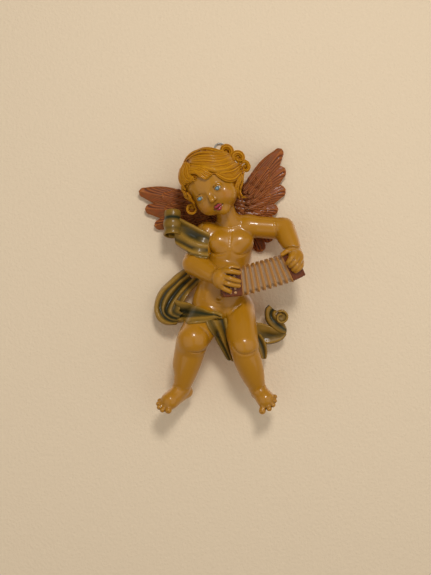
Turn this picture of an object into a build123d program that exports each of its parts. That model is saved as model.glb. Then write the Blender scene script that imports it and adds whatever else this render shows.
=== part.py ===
"""A wall-hung resin cherub playing a concertina, in millimetres.

+Z is up and the figure faces -Y, so the wall is the plane Y = 0. The origin is the nail's seat: the
top of the hanging ring's inside, on the wall. Left and right are the figure's own, so its left is +X.
Places are given by at(x, d, z), where d is the distance in front of the wall.
"""

from math import cos, radians, sin, sqrt
import os

from build123d import *

os.makedirs("parts", exist_ok=True)


def at(x, d, z):
    """A point d in front of the wall."""
    return Vector(x, -d, z)


# ---------------------------------------------------------------- hanger
ring_wire_radius = 0.55
ring_inner_width = 7.3
ring_inner_height = 6.3
ring_depth = 1.6  # of the ring's plane, from the wall
ring_play = 0.12  # between the ring's bar and the strap's eye
strap_sheet = 0.6
strap_width = 5.0
strap_corner_play = 0.1  # that keeps the strap's rounded ends apart from full half circles
strap_reach = 11.0  # from the ring's bar to the screw
screw_shank_radius = 1.1
screw_length = 8.0
screw_head_radius = 2.1
screw_head_height = 0.7
screw_hole_play = 0.2
boss_radius = 4.4

# ---------------------------------------------------------------- head
head_centre = at(-5.4, 28.2, -33.6)
head_tip, head_turn, head_lean = 12, -25, -33  # degrees down, towards its right, over to its right
skull_radius = 20.3
modelled_skull = 20.3  # the skull that the places and sizes on the head are given for
head_unit = skull_radius / modelled_skull
jaw_radius = 16.4 * head_unit
cheek_radius = 8.6 * head_unit
chin_radius = 5.2 * head_unit
nose_radius = 2.4 * head_unit
nostril_radius = 1.4 * head_unit
upper_lip_radius = 1.2 * head_unit
lower_lip_radius = 1.1 * head_unit
eye_radius = 3.0 * head_unit
eye_spacing = 15.0
hair_thickness = 2.5
hair_groove_radius = 0.9
hair_groove_pitch = 4.4
fringe_radius = 2.6
fringe_angles = (25, 156, 26)  # round the face's opening: the first, the limit and the step
face_middle = (-6.8, -46.2)
face_width = 39.0
face_height = 33.0
face_opening_depth = 24.0
curl_wire = 1.8  # radius of the hair in the ringlets over the crown

# ---------------------------------------------------------------- torso and limbs
neck_base = at(7.4, 16, -63)
neck_radius = 7.0
neck_top = at(2.6, 21.5, -49)  # inside the head, which is the seat that cuts it off
neck_peg_radius = 3.6
neck_peg_length = 17.0
neck_play = 0.1
navel = at(0.6, 31.2, -115)
peg_radius = 3.2  # of the pegs cast on the limbs
peg_length = 6.0
peg_play = 0.1
seat_play = 0.5  # that the cut for a seat is wider than its limb

shoulder_left = at(21.5, 15, -65.5)
elbow_left = at(48.6, 20, -65.8)
wrist_left = at(53.8, 29, -83.0)
shoulder_right = at(-9.5, 17, -68.5)
elbow_right = at(-18.8, 21, -91.0)
wrist_right = at(-3.2, 36, -100.6)
upper_arm_radius = 7.6
elbow_radius = 7.9
forearm_radius = 7.3
wrist_radius = 5.4

hip_left = at(12.8, 16, -125)
knee_left = at(16.8, 37, -149.5)
ankle_left = at(27.6, 22, -182)
hip_right = at(-8.0, 16, -127)
knee_right = at(-19.6, 38, -145.5)
ankle_right = at(-28.4, 21, -182)
thigh_radius = 12.2
knee_radius = 10.4
calf_radius = 10.0
ankle_radius = 5.5
palm_radius = 6.0
thumb_radius = 2.1
finger_radius = 1.7
toe_radius = 1.7

# ---------------------------------------------------------------- concertina
treble_end = at(14.2, 37, -104.6)  # middle of the bellows' face on the treble box
bass_end = at(47.0, 32.5, -95.2)  # and of the one on the bass box
treble_tilt, bass_tilt = 5, 26  # degrees that these faces turn upwards
bellows_turn = 8  # degrees that the bellows run back towards the wall
bellows_height = 21.0
bellows_depth = 13.0
bellows_corner = 2.2
pleat_count = 9
pleat_depth = 1.7
box_height = 20.0
box_depth = 14.0
box_corner = 1.5
box_chamfer = 0.8
treble_box_width = 14.0
bass_box_width = 10.0
button_radius = 0.95
button_height = 0.9
button_rows = 6
button_row_pitch = 2.9
button_column_pitch = 3.4

# ---------------------------------------------------------------- wings and drapery
feather_thickness = 2.0
feather_step = 0.7  # in depth, from each feather to the one that it overlaps
shaft_radius = 0.6
wing_depth = 1.2  # of the hindmost feather's back, from the wall
wing_root_radius = 6.0
wing_root_thickness = 4.0
wing_root_play = 0.15
covert_reach = 0.45  # of the feather that it covers
belly_place = 0.35  # of a vane's widest stretch, from its tip
belly_share = 0.85  # of the width at its root
ribbon_thickness = 3.0
sash_thickness = 2.6
fold_rise = 0.2  # of a fold's crest, as a share of its width
scarf_roll_radius = 4.9
scarf_roll_length = 21.0
scroll_roll_radius = 5.0
scroll_roll_length = 9.0


# ---------------------------------------------------------------- shapes that repeat
def bone(start, end, start_radius, end_radius, middle_radius=None):
    """A round-ended length of limb, turned about the line from start to end."""
    length = (end - start).length
    across = Plane(origin=start, z_dir=end - start).x_dir
    side = Plane(origin=start, x_dir=across, z_dir=across.cross(end - start))
    with BuildSketch(side) as half:
        with BuildLine():
            RadiusArc((0, -start_radius), (start_radius, 0), -start_radius)
            if middle_radius:
                rims = ((start_radius, 0), (middle_radius, length / 2), (end_radius, length))
                Spline(*rims, tangents=[(0, 1), (0, 1)])
            else:
                Line((start_radius, 0), (end_radius, length))
            RadiusArc((end_radius, length), (0, length + end_radius), -end_radius)
            Line((0, length + end_radius), (0, -start_radius))
        make_face()
    revolve(half.sketch, axis=Axis(start, end - start))


def ball(centre, radius):
    """A sphere, for a rounded mass of flesh or hair."""
    with Locations(centre):
        Sphere(radius)


def peg(seats, play=0, mode=Mode.ADD):
    """The peg on a limb's seat, or with some play the socket that takes it."""
    with Locations(*seats):
        inward = (Align.CENTER, Align.CENTER, Align.MAX)
        Cylinder(peg_radius + play, peg_length + play, align=inward, mode=mode)


def neck_peg(play=0, mode=Mode.ADD):
    """The peg that the head sits on, or with some play its socket."""
    with Locations(Plane(origin=neck_base, z_dir=neck_top - neck_base)):
        upward = (Align.CENTER, Align.CENTER, Align.MIN)
        Cylinder(neck_peg_radius + play, neck_peg_length + play, align=upward, mode=mode)


def tapered(root, tip, root_radius, tip_radius, depth, belly=0):
    """The hull of a circle at each end, parallel to the wall, and of a belly this far from the tip."""
    with BuildSketch(Plane.XZ.offset(depth)) as outline:
        for place, radius in ((root, root_radius), (tip, tip_radius)):
            with Locations(place):
                Circle(radius)
        if belly:
            with Locations(between(tip, root, belly)):
                Circle(belly_share * root_radius)
        make_hull()
    return outline.sketch.face()


def between(a, b, share):
    """A point on the line from a to b."""
    return tuple(start + (end - start) * share for start, end in zip(a, b))


def ribbon(stations, folds, thickness=ribbon_thickness):
    """Draped cloth, lofted through stations of centre, width and outward normal.

    Its outward face is scalloped into the given number of folds.
    """
    half = thickness / 2
    sections = []
    for i, (centre, width, normal) in enumerate(stations):
        before = stations[max(i - 1, 0)][0]
        after = stations[min(i + 1, len(stations) - 1)][0]
        across = Vector(*normal).cross(after - before)
        with BuildSketch(Plane(origin=centre, x_dir=across, z_dir=after - before)) as section:
            with BuildLine():
                pitch = width / folds
                for fold in range(folds):
                    left = -width / 2 + fold * pitch
                    crest = half + fold_rise * pitch
                    ThreePointArc((left, half), (left + pitch / 2, crest), (left + pitch, half))
                Polyline((width / 2, half), (width / 2, -half), (-width / 2, -half), (-width / 2, half))
            make_face()
        sections.append(section.sketch.face())
    loft(sections)


def wing_root(start, end, play=0, mode=Mode.ADD):
    """The flat root of a wing, or with some play the slot for it in the back."""
    radius = wing_root_radius + play
    root = tapered(start, end, 1.3 * radius, radius, wing_depth - play)
    extrude(root, amount=wing_root_thickness + 2 * play, mode=mode)


def wing(feathers):
    """Feathers from the front one to the hindmost, each overlapping the next, under a row of coverts.

    Each has its shaft standing proud of the vane.
    """
    front = wing_depth + (len(feathers) - 1) * feather_step
    vanes = []
    shafts = []
    for i, (root, tip, root_radius, tip_radius) in enumerate(feathers):
        depth = front - i * feather_step
        covert_tip = between(root, tip, covert_reach)
        over = depth + feather_thickness
        vanes.append(tapered(root, tip, root_radius, tip_radius, depth, belly_place))
        vanes.append(tapered(root, covert_tip, 0.9 * root_radius, 1.1 * tip_radius, over, belly_place))
        shafts.append(tapered(root, tip, shaft_radius, 0.5 * shaft_radius, depth))
        shafts.append(tapered(root, covert_tip, shaft_radius, 0.5 * shaft_radius, over))
    extrude(vanes, amount=feather_thickness)
    extrude(shafts, amount=feather_thickness + shaft_radius)


def seat_plane(joint, far):
    """Where a limb meets the torso, facing along the limb."""
    return Plane(origin=joint, z_dir=far - joint)


# ---------------------------------------------------------------- frames
head_frame = Plane(
    Location(head_centre) * Rotation(0, head_lean, 0) * Rotation(0, 0, head_turn) * Rotation(head_tip, 0, 0)
)


def on_head(x, y, z):
    """A point in the head's own frame and units: x to its left, y to its back and z up."""
    return head_frame.from_local_coords(Vector(x, y, z) * head_unit)


def concertina_plane(middle, tilt):
    """A cross-section of the concertina, facing from its treble end to its bass end."""
    run, rise, turn = cos(radians(tilt)), sin(radians(tilt)), sin(radians(bellows_turn))
    return Plane(origin=middle, x_dir=(turn, -run, 0), z_dir=(run, turn, rise))


treble_plane = concertina_plane(treble_end, treble_tilt)
bass_plane = concertina_plane(bass_end, bass_tilt)
arm_seats = [seat_plane(shoulder_left, elbow_left), seat_plane(shoulder_right, elbow_right)]
leg_seats = [seat_plane(hip_left, knee_left), seat_plane(hip_right, knee_right)]

left_root = ((19.0, -54.0), (9.0, -68.0))
right_root = ((-19.0, -54.0), (-5.0, -67.0))

# ---------------------------------------------------------------- head, eyes and hair
with BuildPart() as eyes:
    for side in (-1, 1):
        ball(on_head(side * eye_spacing / 2, -15.2, -2.6), eye_radius)

with BuildPart() as head:
    ball(on_head(0, 2, 3), skull_radius)
    ball(on_head(0, -3, -6), jaw_radius)
    ball(on_head(0, -12.4, -16.6), chin_radius)
    bone(on_head(0, -16.8, -2), on_head(0, -19.6, -8.4), nose_radius / 2, nose_radius)
    bone(on_head(-1.6, -17.2, -15.8), on_head(1.6, -17.2, -15.8), lower_lip_radius, lower_lip_radius)
    for side in (-1, 1):
        ball(on_head(side * 8.4, -9, -9.5), cheek_radius)
        ball(on_head(side * 2.1, -18.8, -9.0), nostril_radius)
        lip_corner = on_head(side * 2.8, -17.2, -14.2)
        bone(on_head(side * 0.5, -18.4, -13.8), lip_corner, upper_lip_radius, upper_lip_radius * 2 / 3)
    neck_peg(neck_play, Mode.SUBTRACT)
    add(eyes.part, mode=Mode.SUBTRACT)

hair_radius = skull_radius + hair_thickness
hair_centre = on_head(0, 2.6, 3.4)
combed = Vector(0.1, -0.3, 1).normalized()  # the grooves lie square to this

bar_height = -ring_inner_height - ring_wire_radius
screw_place = at(0, ring_depth, bar_height - strap_reach)
strap_back = ring_depth - strap_sheet
strap_front = ring_depth + strap_sheet
eye_inner = ring_wire_radius + ring_play


def curl(centre, radius, wire, start, sweep):
    """A ringlet in a plane parallel to the wall, from the start angle on through the sweep."""
    turned = Plane(origin=centre, x_dir=(cos(radians(start)), 0, sin(radians(start))), z_dir=(0, -1, 0))
    with Locations(turned):
        Torus(radius, wire, major_angle=sweep)
    for angle in (start, start + sweep):
        ball(centre + Vector(cos(radians(angle)), 0, sin(radians(angle))) * radius, 1.04 * wire)


with BuildPart() as hair:
    ball(hair_centre, hair_radius)
    for k in range(-2, 5):
        level = k * hair_groove_pitch
        with Locations(Plane(origin=hair_centre + combed * level, z_dir=combed)):
            Torus(sqrt(hair_radius**2 - level**2), hair_groove_radius, mode=Mode.SUBTRACT)
    with BuildSketch(Plane.XZ.offset(face_opening_depth)) as face:
        with Locations(face_middle):
            Ellipse(face_width / 2, face_height / 2)
    extrude(face.sketch, amount=2 * hair_radius, mode=Mode.SUBTRACT)
    nape = Plane(origin=on_head(0, 0, -13), x_dir=head_frame.x_dir, z_dir=head_frame.z_dir)
    split(bisect_by=nape, keep=Keep.TOP)
    for angle in range(*fringe_angles):
        x = face_middle[0] + cos(radians(angle)) * face_width / 2
        z = face_middle[1] + sin(radians(angle)) * face_height / 2
        rise = sqrt(hair_radius**2 - (x - hair_centre.X) ** 2 - (z - hair_centre.Z) ** 2)
        ball(at(x, rise - hair_centre.Y - 0.4 * fringe_radius, z), fringe_radius)
    bone(at(-25.4, 24, -36), at(-20.4, 25, -48.0), 3.4, 1.6)
    bone(at(13.4, 26, -26), at(15.2, 27, -40.0), 3.4, 2.2)
    curl(at(5.4, 22, -8.6), 3.2, curl_wire, -60, 270)
    curl(at(13.4, 22, -14.2), 2.7, curl_wire - 0.1, -60, 270)
    curl(at(18.0, 22, -20.6), 2.5, curl_wire - 0.2, -80, 270)
    curl(at(-20.7, 25, -51.5), 2.7, curl_wire - 0.5, 60, 330)
    with Locations(Plane(origin=at(screw_place.X, strap_front, screw_place.Z), z_dir=(0, -1, 0))):
        forward = (Align.CENTER, Align.CENTER, Align.MIN)
        Cylinder(boss_radius, -hair_centre.Y - strap_front, align=forward)
        Cylinder(screw_shank_radius, screw_length - 2 * strap_sheet, align=forward, mode=Mode.SUBTRACT)
    add(head.part, mode=Mode.SUBTRACT)

# ---------------------------------------------------------------- torso
spine = [  # centre, half width and half depth, from the seat up to the neck
    (at(1.0, 15, -137.5), 10.0, 9.0),
    (at(0.6, 14, -132), 17.0, 14.5),
    (at(0.2, 13, -124), 21.4, 17.6),
    (at(0.4, 13, -115), 20.4, 18.0),
    (at(2.6, 13, -103), 17.4, 16.6),
    (at(5.4, 13, -92), 16.4, 15.4),
    (at(7.0, 13, -80), 16.8, 16.0),
    (at(7.2, 13, -72), 16.2, 14.4),
    (neck_base + Vector(0, 0, -2.5), 12.0, 10.0),
    (neck_base + Vector(-1.2, -2, 3.5), neck_radius, neck_radius),
    (neck_top, neck_radius, neck_radius),
]
with BuildPart() as torso:
    for centre, half_width, half_depth in spine:
        with BuildSketch(Plane(origin=centre)):
            Ellipse(half_width, half_depth)
    loft()
    for side, shoulder in ((1, shoulder_left), (-1, shoulder_right)):
        bone(neck_base + Vector(side, 0, -6), shoulder, upper_arm_radius, upper_arm_radius)
        ball(at(7.4 + side * 7.6, 21.5, -77), 8.2)
    for hip in (hip_left, hip_right):
        bone(at(1, 16, -121), hip, thigh_radius, thigh_radius)
    with Locations(navel):
        Sphere(1.3, mode=Mode.SUBTRACT)
    split(bisect_by=Plane.XZ)
    add(head.part, mode=Mode.SUBTRACT)
    neck_peg()
    for seats, radius in ((arm_seats, upper_arm_radius), (leg_seats, thigh_radius)):
        with Locations(*seats):
            outward = (Align.CENTER, Align.CENTER, Align.MIN)
            Cylinder(radius + seat_play, 3 * radius, align=outward, mode=Mode.SUBTRACT)
    peg(arm_seats + leg_seats, peg_play, Mode.SUBTRACT)
    for root in (left_root, right_root):
        wing_root(*root, wing_root_play, Mode.SUBTRACT)

# ---------------------------------------------------------------- concertina
with BuildPart() as treble_box:
    with BuildSketch(treble_plane):
        RectangleRounded(box_depth, box_height, box_corner)
    extrude(amount=-treble_box_width)
    chamfer(treble_box.edges().group_by(Axis(treble_end, treble_plane.z_dir))[0], box_chamfer)

with BuildPart() as bass_box:
    with BuildSketch(bass_plane):
        RectangleRounded(box_depth, box_height, box_corner)
    extrude(amount=bass_box_width)
    chamfer(bass_box.edges().group_by(Axis(bass_end, bass_plane.z_dir))[-1], box_chamfer)

with BuildPart() as bellows:
    for i in range(2 * pleat_count + 1):
        share = i / (2 * pleat_count)
        tilt = treble_tilt + share * (bass_tilt - treble_tilt)
        inset = pleat_depth if i % 2 else 0
        with BuildSketch(concertina_plane(treble_end + (bass_end - treble_end) * share, tilt)):
            RectangleRounded(bellows_depth - 2 * inset, bellows_height - 2 * inset, bellows_corner)
    loft(ruled=True)

button_plane = Plane(
    origin=treble_end - treble_plane.z_dir * treble_box_width / 2 + treble_plane.x_dir * box_depth / 2,
    x_dir=treble_plane.z_dir,
    z_dir=treble_plane.x_dir,
)
with BuildPart() as treble_buttons:
    with Locations(button_plane):
        with GridLocations(button_column_pitch, button_row_pitch, 2, button_rows):
            Cylinder(button_radius, button_height, align=(Align.CENTER, Align.CENTER, Align.MIN))


# ---------------------------------------------------------------- arms
def hand(palm, palm_radius, knuckle, spread, reach, count=4):
    """A palm with its fingers side by side: the first knuckle, the step to the next and the reach."""
    ball(palm, palm_radius)
    for i in range(count):
        start = knuckle + spread * i
        bone(start, start + reach, finger_radius, finger_radius)


with BuildPart() as arm_left:
    bone(shoulder_left, elbow_left, upper_arm_radius, elbow_radius, upper_arm_radius)
    bone(elbow_left, wrist_left, elbow_radius, wrist_radius, forearm_radius)
    split(bisect_by=arm_seats[0], keep=Keep.TOP)
    peg(arm_seats[:1])
    palm = wrist_left + Vector(0.4, -7, -3.6)
    knuckle = wrist_left + Vector(-2.8, -11.6, -3.2)
    hand(palm, palm_radius, knuckle, Vector(2.3, 0.2, -1.1), Vector(-2.4, 0, -7.0))
    bone(wrist_left + Vector(-1.3, -9, -1), wrist_left + Vector(-8, -12, -2.4), thumb_radius, finger_radius)
    for neighbour in (torso, bass_box):
        add(neighbour.part, mode=Mode.SUBTRACT)

with BuildPart() as arm_right:
    bone(shoulder_right, elbow_right, upper_arm_radius + 0.4, elbow_radius + 0.5, upper_arm_radius)
    bone(elbow_right, wrist_right, elbow_radius + 0.5, wrist_radius, forearm_radius)
    split(bisect_by=arm_seats[1], keep=Keep.TOP)
    peg(arm_seats[1:])
    palm = wrist_right + Vector(3.4, -7.5, -2)
    knuckle = palm + Vector(2.8, -3.3, 4)
    hand(palm, palm_radius + 0.8, knuckle, Vector(-0.6, 0, -3.4), Vector(9.4, 1.2, -0.5), 3)
    bone(palm + Vector(1.2, -2, -5), palm + Vector(5.4, -2.7, -8.2), finger_radius, finger_radius)
    bone(palm + Vector(2, 0.5, 5.2), palm + Vector(10.6, -1, 8.4), thumb_radius, finger_radius)
    for neighbour in (torso, treble_box, treble_buttons):
        add(neighbour.part, mode=Mode.SUBTRACT)

# ---------------------------------------------------------------- legs
def foot(ankle, heel, ball_of_foot, toes):
    """A chubby foot, with its toes given as (centre, radius) from the big one outwards."""
    bone(ankle, heel, ankle_radius - 0.2, ankle_radius - 1.0)
    bone(heel, ball_of_foot, ankle_radius - 1.2, ankle_radius + 0.2)
    bone(ankle, ball_of_foot, ankle_radius, ankle_radius)
    for toe, radius in toes:
        bone(toe + (ball_of_foot - toe) * 0.5, toe, radius, radius)


with BuildPart() as leg_left:
    bone(hip_left, knee_left, thigh_radius, knee_radius, 0.96 * thigh_radius)
    bone(knee_left, ankle_left, knee_radius - 0.1, ankle_radius, calf_radius)
    split(bisect_by=leg_seats[0], keep=Keep.TOP)
    peg(leg_seats[:1])
    foot(
        ankle_left,
        at(27.6, 15, -187),
        at(33.4, 26, -190.4),
        (
            (at(30.1, 28.5, -198.4), toe_radius + 0.6),
            (at(35.9, 29.5, -196.0), toe_radius),
            (at(38.6, 28.5, -193.3), toe_radius),
            (at(39.8, 27.0, -190.4), toe_radius),
            (at(40.2, 25.0, -187.6), toe_radius),
        ),
    )
    add(torso.part, mode=Mode.SUBTRACT)

with BuildPart() as leg_right:
    bone(hip_right, knee_right, thigh_radius, knee_radius + 0.8, thigh_radius)
    bone(knee_right, ankle_right, knee_radius - 0.2, ankle_radius + 0.4, calf_radius)
    split(bisect_by=leg_seats[1], keep=Keep.TOP)
    peg(leg_seats[1:])
    foot(
        ankle_right,
        at(-24.8, 15, -186.6),
        at(-38.8, 27, -192.2),
        (
            (at(-38.3, 31.0, -197.0), toe_radius + 0.6),
            (at(-42.4, 31.0, -196.8), toe_radius),
            (at(-44.6, 29.5, -195.2), toe_radius),
            (at(-45.2, 27.5, -193.0), toe_radius),
            (at(-44.4, 25.5, -190.9), toe_radius),
        ),
    )
    for neighbour in (torso, leg_left):
        add(neighbour.part, mode=Mode.SUBTRACT)

# ---------------------------------------------------------------- wings
with BuildPart() as wing_left:
    wing_root(*left_root)
    wing(
        (
            ((25.5, -33.0), (44.4, -6.8), 8.4, 3.2),
            ((25.0, -38.0), (45.6, -20.8), 8.0, 3.9),
            ((24.3, -43.9), (45.2, -34.9), 7.4, 4.2),
            ((22.9, -49.6), (39.5, -49.4), 7.0, 4.0),
            ((22.9, -54.0), (40.0, -60.0), 6.4, 3.6),
            ((22.9, -56.2), (36.0, -70.2), 6.0, 4.2),
            ((20.1, -58.1), (30.0, -77.4), 5.7, 4.4),
        )
    )
    for neighbour in (torso, arm_left, hair):
        add(neighbour.part, mode=Mode.SUBTRACT)

with BuildPart() as wing_right:
    wing_root(*right_root)
    wing(
        (
            ((-26.0, -43.4), (-58.6, -36.2), 8.2, 2.5),
            ((-26.0, -50.6), (-53.4, -48.8), 7.2, 3.0),
            ((-26.0, -54.6), (-46.2, -61.2), 6.4, 3.2),
            ((-24.4, -57.6), (-40.0, -67.6), 6.0, 3.0),
            ((-21.0, -60.0), (-31.0, -72.4), 5.4, 3.0),
        )
    )
    for neighbour in (torso, hair):
        add(neighbour.part, mode=Mode.SUBTRACT)

# ---------------------------------------------------------------- drapery
with BuildPart() as shoulder_scarf:
    ribbon(
        (
            (at(-7.6, 25.8, -77.0), 15.0, (0.2, -1, 0.0)),
            (at(-14.0, 27.2, -75.0), 17.5, (0, -1, 0.1)),
            (at(-22.0, 27.5, -71.8), 18.5, (-0.3, -1, 0.1)),
            (at(-29.6, 24.0, -68.0), 17.0, (-0.5, -1, 0)),
        ),
        3,
    )
    with Locations(at(-34.6, 21.0, -62.3)):
        Cylinder(scarf_roll_radius, scarf_roll_length)
    for neighbour in (torso, arm_right, wing_right):
        add(neighbour.part, mode=Mode.SUBTRACT)

with BuildPart() as sash_loop:
    ribbon(
        (
            (at(-19.4, 7.6, -96.8), 12.6, (-0.1, -1, 0.1)),
            (at(-23.4, 7.6, -100.1), 13.4, (-0.1, -1, 0.1)),
            (at(-29.4, 7.6, -106.0), 15.3, (0, -1, 0.1)),
            (at(-34.5, 8.6, -111.9), 15.9, (0, -1, 0.2)),
            (at(-37.9, 9.8, -117.2), 15.8, (-0.1, -1, 0.2)),
            (at(-39.3, 11.2, -121.7), 15.0, (-0.2, -1, 0.3)),
            (at(-38.8, 12.8, -126.2), 15.4, (-0.3, -1, 0.3)),
        ),
        4,
        sash_thickness,
    )
    ribbon(
        (
            (at(-39.1, 12.6, -127.4), 14.8, (-0.5, -0.9, 0.3)),
            (at(-34.5, 15.8, -126.9), 14.0, (-0.5, -0.8, 0.3)),
            (at(-28.6, 22.4, -127.2), 11.8, (-0.6, -0.8, 0.2)),
            (at(-22.2, 29.0, -127.2), 9.4, (-0.6, -0.8, 0.1)),
            (at(-15.3, 33.2, -127.4), 7.4, (-0.5, -0.9, 0)),
            (at(-8.6, 35.2, -128.1), 5.6, (-0.3, -1, 0)),
            (at(0.2, 34.6, -129.8), 4.0, (0, -1, 0)),
        ),
        3,
        sash_thickness,
    )
    for neighbour in (torso, arm_right, leg_right):
        add(neighbour.part, mode=Mode.SUBTRACT)

with BuildPart() as lap_tail:
    ribbon(
        (
            (at(-2.4, 33.5, -134.0), 8.5, (0, -1, 0.3)),
            (at(0.2, 31.0, -144.0), 7.4, (0, -1, 0)),
            (at(4.6, 27.0, -154.0), 5.4, (0, -1, -0.2)),
            (at(8.6, 22.0, -164.0), 2.6, (0, -1, -0.3)),
        ),
        2,
    )
    for neighbour in (torso, leg_right, leg_left, sash_loop):
        add(neighbour.part, mode=Mode.SUBTRACT)

with BuildPart() as hip_scroll:
    ribbon(
        (
            (at(20.4, 19.6, -140.4), 12.0, (-0.5, -0.9, -0.1)),
            (at(28.7, 13.0, -142.8), 13.4, (-0.2, -1, -0.2)),
            (at(34.7, 13.1, -143.9), 13.6, (-0.1, -1, -0.2)),
            (at(39.9, 13.6, -144.6), 10.0, (0.1, -0.9, -0.2)),
            (at(44.2, 13.4, -144.2), 7.0, (0.2, -0.9, -0.2)),
            (at(47.4, 12.8, -142.6), 4.4, (0.3, -0.9, 0)),
        ),
        2,
        sash_thickness,
    )
    for neighbour in (torso, leg_left):
        add(neighbour.part, mode=Mode.SUBTRACT)
    ribbon(
        (
            (at(46.8, 13.6, -142.2), 5.0, (0, -0.9, -0.3)),
            (at(43.8, 14.6, -139.6), 7.0, (-0.3, -0.9, -0.3)),
            (at(40.2, 15.3, -135.9), 8.0, (-0.4, -0.8, -0.3)),
            (at(37.3, 15.7, -130.7), 8.0, (-0.4, -0.8, 0)),
            (at(38.0, 15.9, -125.8), 7.0, (-0.3, -0.9, 0.3)),
        ),
        2,
        sash_thickness,
    )
    with Locations(Plane(origin=at(45.2, 12.0, -130.2), z_dir=(0, -1, 0))):
        Cylinder(scroll_roll_radius, scroll_roll_length, align=(Align.CENTER, Align.CENTER, Align.MIN))

# ---------------------------------------------------------------- hanger
with BuildPart() as hanging_ring:
    bar_half = ring_inner_width / 2 + ring_wire_radius
    leg_top = -bar_half + ring_wire_radius
    bar_middle = at(0, ring_depth, bar_height)
    corners = [at(side * bar_half, ring_depth, bar_height) for side in (1, -1)]
    shoulders = [at(side * bar_half, ring_depth, leg_top) for side in (1, -1)]
    with BuildLine():
        Polyline(bar_middle, corners[0], shoulders[0])
        ThreePointArc(shoulders[0], at(0, ring_depth, ring_wire_radius), shoulders[1])
        Polyline(shoulders[1], corners[1], bar_middle)
    with BuildSketch(Plane(origin=at(0, ring_depth, bar_height), z_dir=(1, 0, 0))):
        Circle(ring_wire_radius)
    sweep(transition=Transition.ROUND)

with BuildPart() as hanger_strap:
    with Locations(Plane(origin=at(0, ring_depth, bar_height), z_dir=(1, 0, 0))):
        Cylinder(eye_inner + strap_sheet, strap_width)
    with BuildSketch(Plane.XZ.offset(strap_back)):
        with Locations((0, bar_height - (strap_reach + strap_width / 2) / 2)):
            strap_length = strap_reach + strap_width / 2
            RectangleRounded(strap_width, strap_length, strap_width / 2 - strap_corner_play)
    extrude(amount=2 * strap_sheet)
    with Locations(Plane(origin=at(0, ring_depth, bar_height), z_dir=(1, 0, 0))):
        Cylinder(eye_inner, strap_width, mode=Mode.SUBTRACT)
    with Locations(Plane(origin=screw_place, z_dir=(0, 1, 0))):
        Cylinder(screw_shank_radius + screw_hole_play, 10, mode=Mode.SUBTRACT)

with BuildPart() as hanger_screw:
    with Locations(Plane(origin=at(0, strap_back, screw_place.Z), z_dir=(0, -1, 0))):
        Cylinder(screw_shank_radius, screw_length, align=(Align.CENTER, Align.CENTER, Align.MIN))
        Cylinder(screw_head_radius, screw_head_height, align=(Align.CENTER, Align.CENTER, Align.MAX))

# ---------------------------------------------------------------- the pieces as files
pieces = {
    "torso": torso,
    "head": head,
    "hair": hair,
    "eyes": eyes,
    "arm_left": arm_left,
    "arm_right": arm_right,
    "leg_left": leg_left,
    "leg_right": leg_right,
    "wing_left": wing_left,
    "wing_right": wing_right,
    "bellows": bellows,
    "treble_box": treble_box,
    "bass_box": bass_box,
    "treble_buttons": treble_buttons,
    "shoulder_scarf": shoulder_scarf,
    "sash_loop": sash_loop,
    "lap_tail": lap_tail,
    "hip_scroll": hip_scroll,
    "hanging_ring": hanging_ring,
    "hanger_strap": hanger_strap,
    "hanger_screw": hanger_screw,
}
for name, piece in pieces.items():
    piece.part.label = name
    export_step(piece.part, f"parts/{name}.step")
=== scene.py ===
import math
import bmesh
import bpy
import numpy as np
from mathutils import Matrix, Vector


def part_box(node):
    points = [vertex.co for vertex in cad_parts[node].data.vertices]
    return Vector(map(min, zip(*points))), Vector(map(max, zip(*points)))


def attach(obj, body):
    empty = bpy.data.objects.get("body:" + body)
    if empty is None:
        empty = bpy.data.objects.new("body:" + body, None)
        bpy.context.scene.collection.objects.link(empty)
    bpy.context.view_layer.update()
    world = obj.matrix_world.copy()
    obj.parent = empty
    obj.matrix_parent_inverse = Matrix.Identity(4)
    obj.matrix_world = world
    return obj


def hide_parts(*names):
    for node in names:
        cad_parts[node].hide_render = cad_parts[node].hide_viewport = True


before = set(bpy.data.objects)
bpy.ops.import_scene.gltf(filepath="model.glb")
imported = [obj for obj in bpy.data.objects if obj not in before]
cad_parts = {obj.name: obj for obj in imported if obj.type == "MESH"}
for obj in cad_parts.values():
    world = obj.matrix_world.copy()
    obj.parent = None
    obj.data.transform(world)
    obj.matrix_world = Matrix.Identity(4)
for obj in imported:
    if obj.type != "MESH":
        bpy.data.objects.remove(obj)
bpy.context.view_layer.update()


millimetre = 0.001

# camera and lamps: straight on, 600 mm from the wall
view = {"aim": (-3.42, -108.7), "distance": 600.0, "lens": 49.43}
cameraData = bpy.data.cameras.new("camera")
cameraData.lens = view["lens"]
cameraData.sensor_width = 36.0
cameraData.clip_start = 0.01
camera = bpy.data.objects.new("camera", cameraData)
camera.location = Vector((view["aim"][0], -view["distance"], view["aim"][1])) * millimetre
camera.rotation_euler = (math.pi / 2, 0, 0)
bpy.context.scene.collection.objects.link(camera)
bpy.context.scene.camera = camera
bpy.context.scene.view_settings.view_transform = "Standard"

lampSettings = {  # place in mm, size in mm and power in watts
    "key": ((95, -820, 380), 170, 3.8),
    "window": ((-420, -560, -320), 900, 1.5),
    "fill": ((500, -520, -160), 900, 1.8),
    "backLeft": ((-320, 420, 160), 300, 1.0),
    "backRight": ((320, 420, 60), 300, 1.0),
}
for name, (place, size, power) in lampSettings.items():
    lampData = bpy.data.lights.new(name, "AREA")
    lampData.size = size * millimetre
    lampData.energy = power
    lamp = bpy.data.objects.new(name, lampData)
    lamp.location = Vector(place) * millimetre
    aim = Vector((view["aim"][0], 0, view["aim"][1])) * millimetre - lamp.location
    lamp.rotation_euler = aim.to_track_quat("-Z", "Y").to_euler()
    bpy.context.scene.collection.objects.link(lamp)
print("camera and lamps placed")


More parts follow.
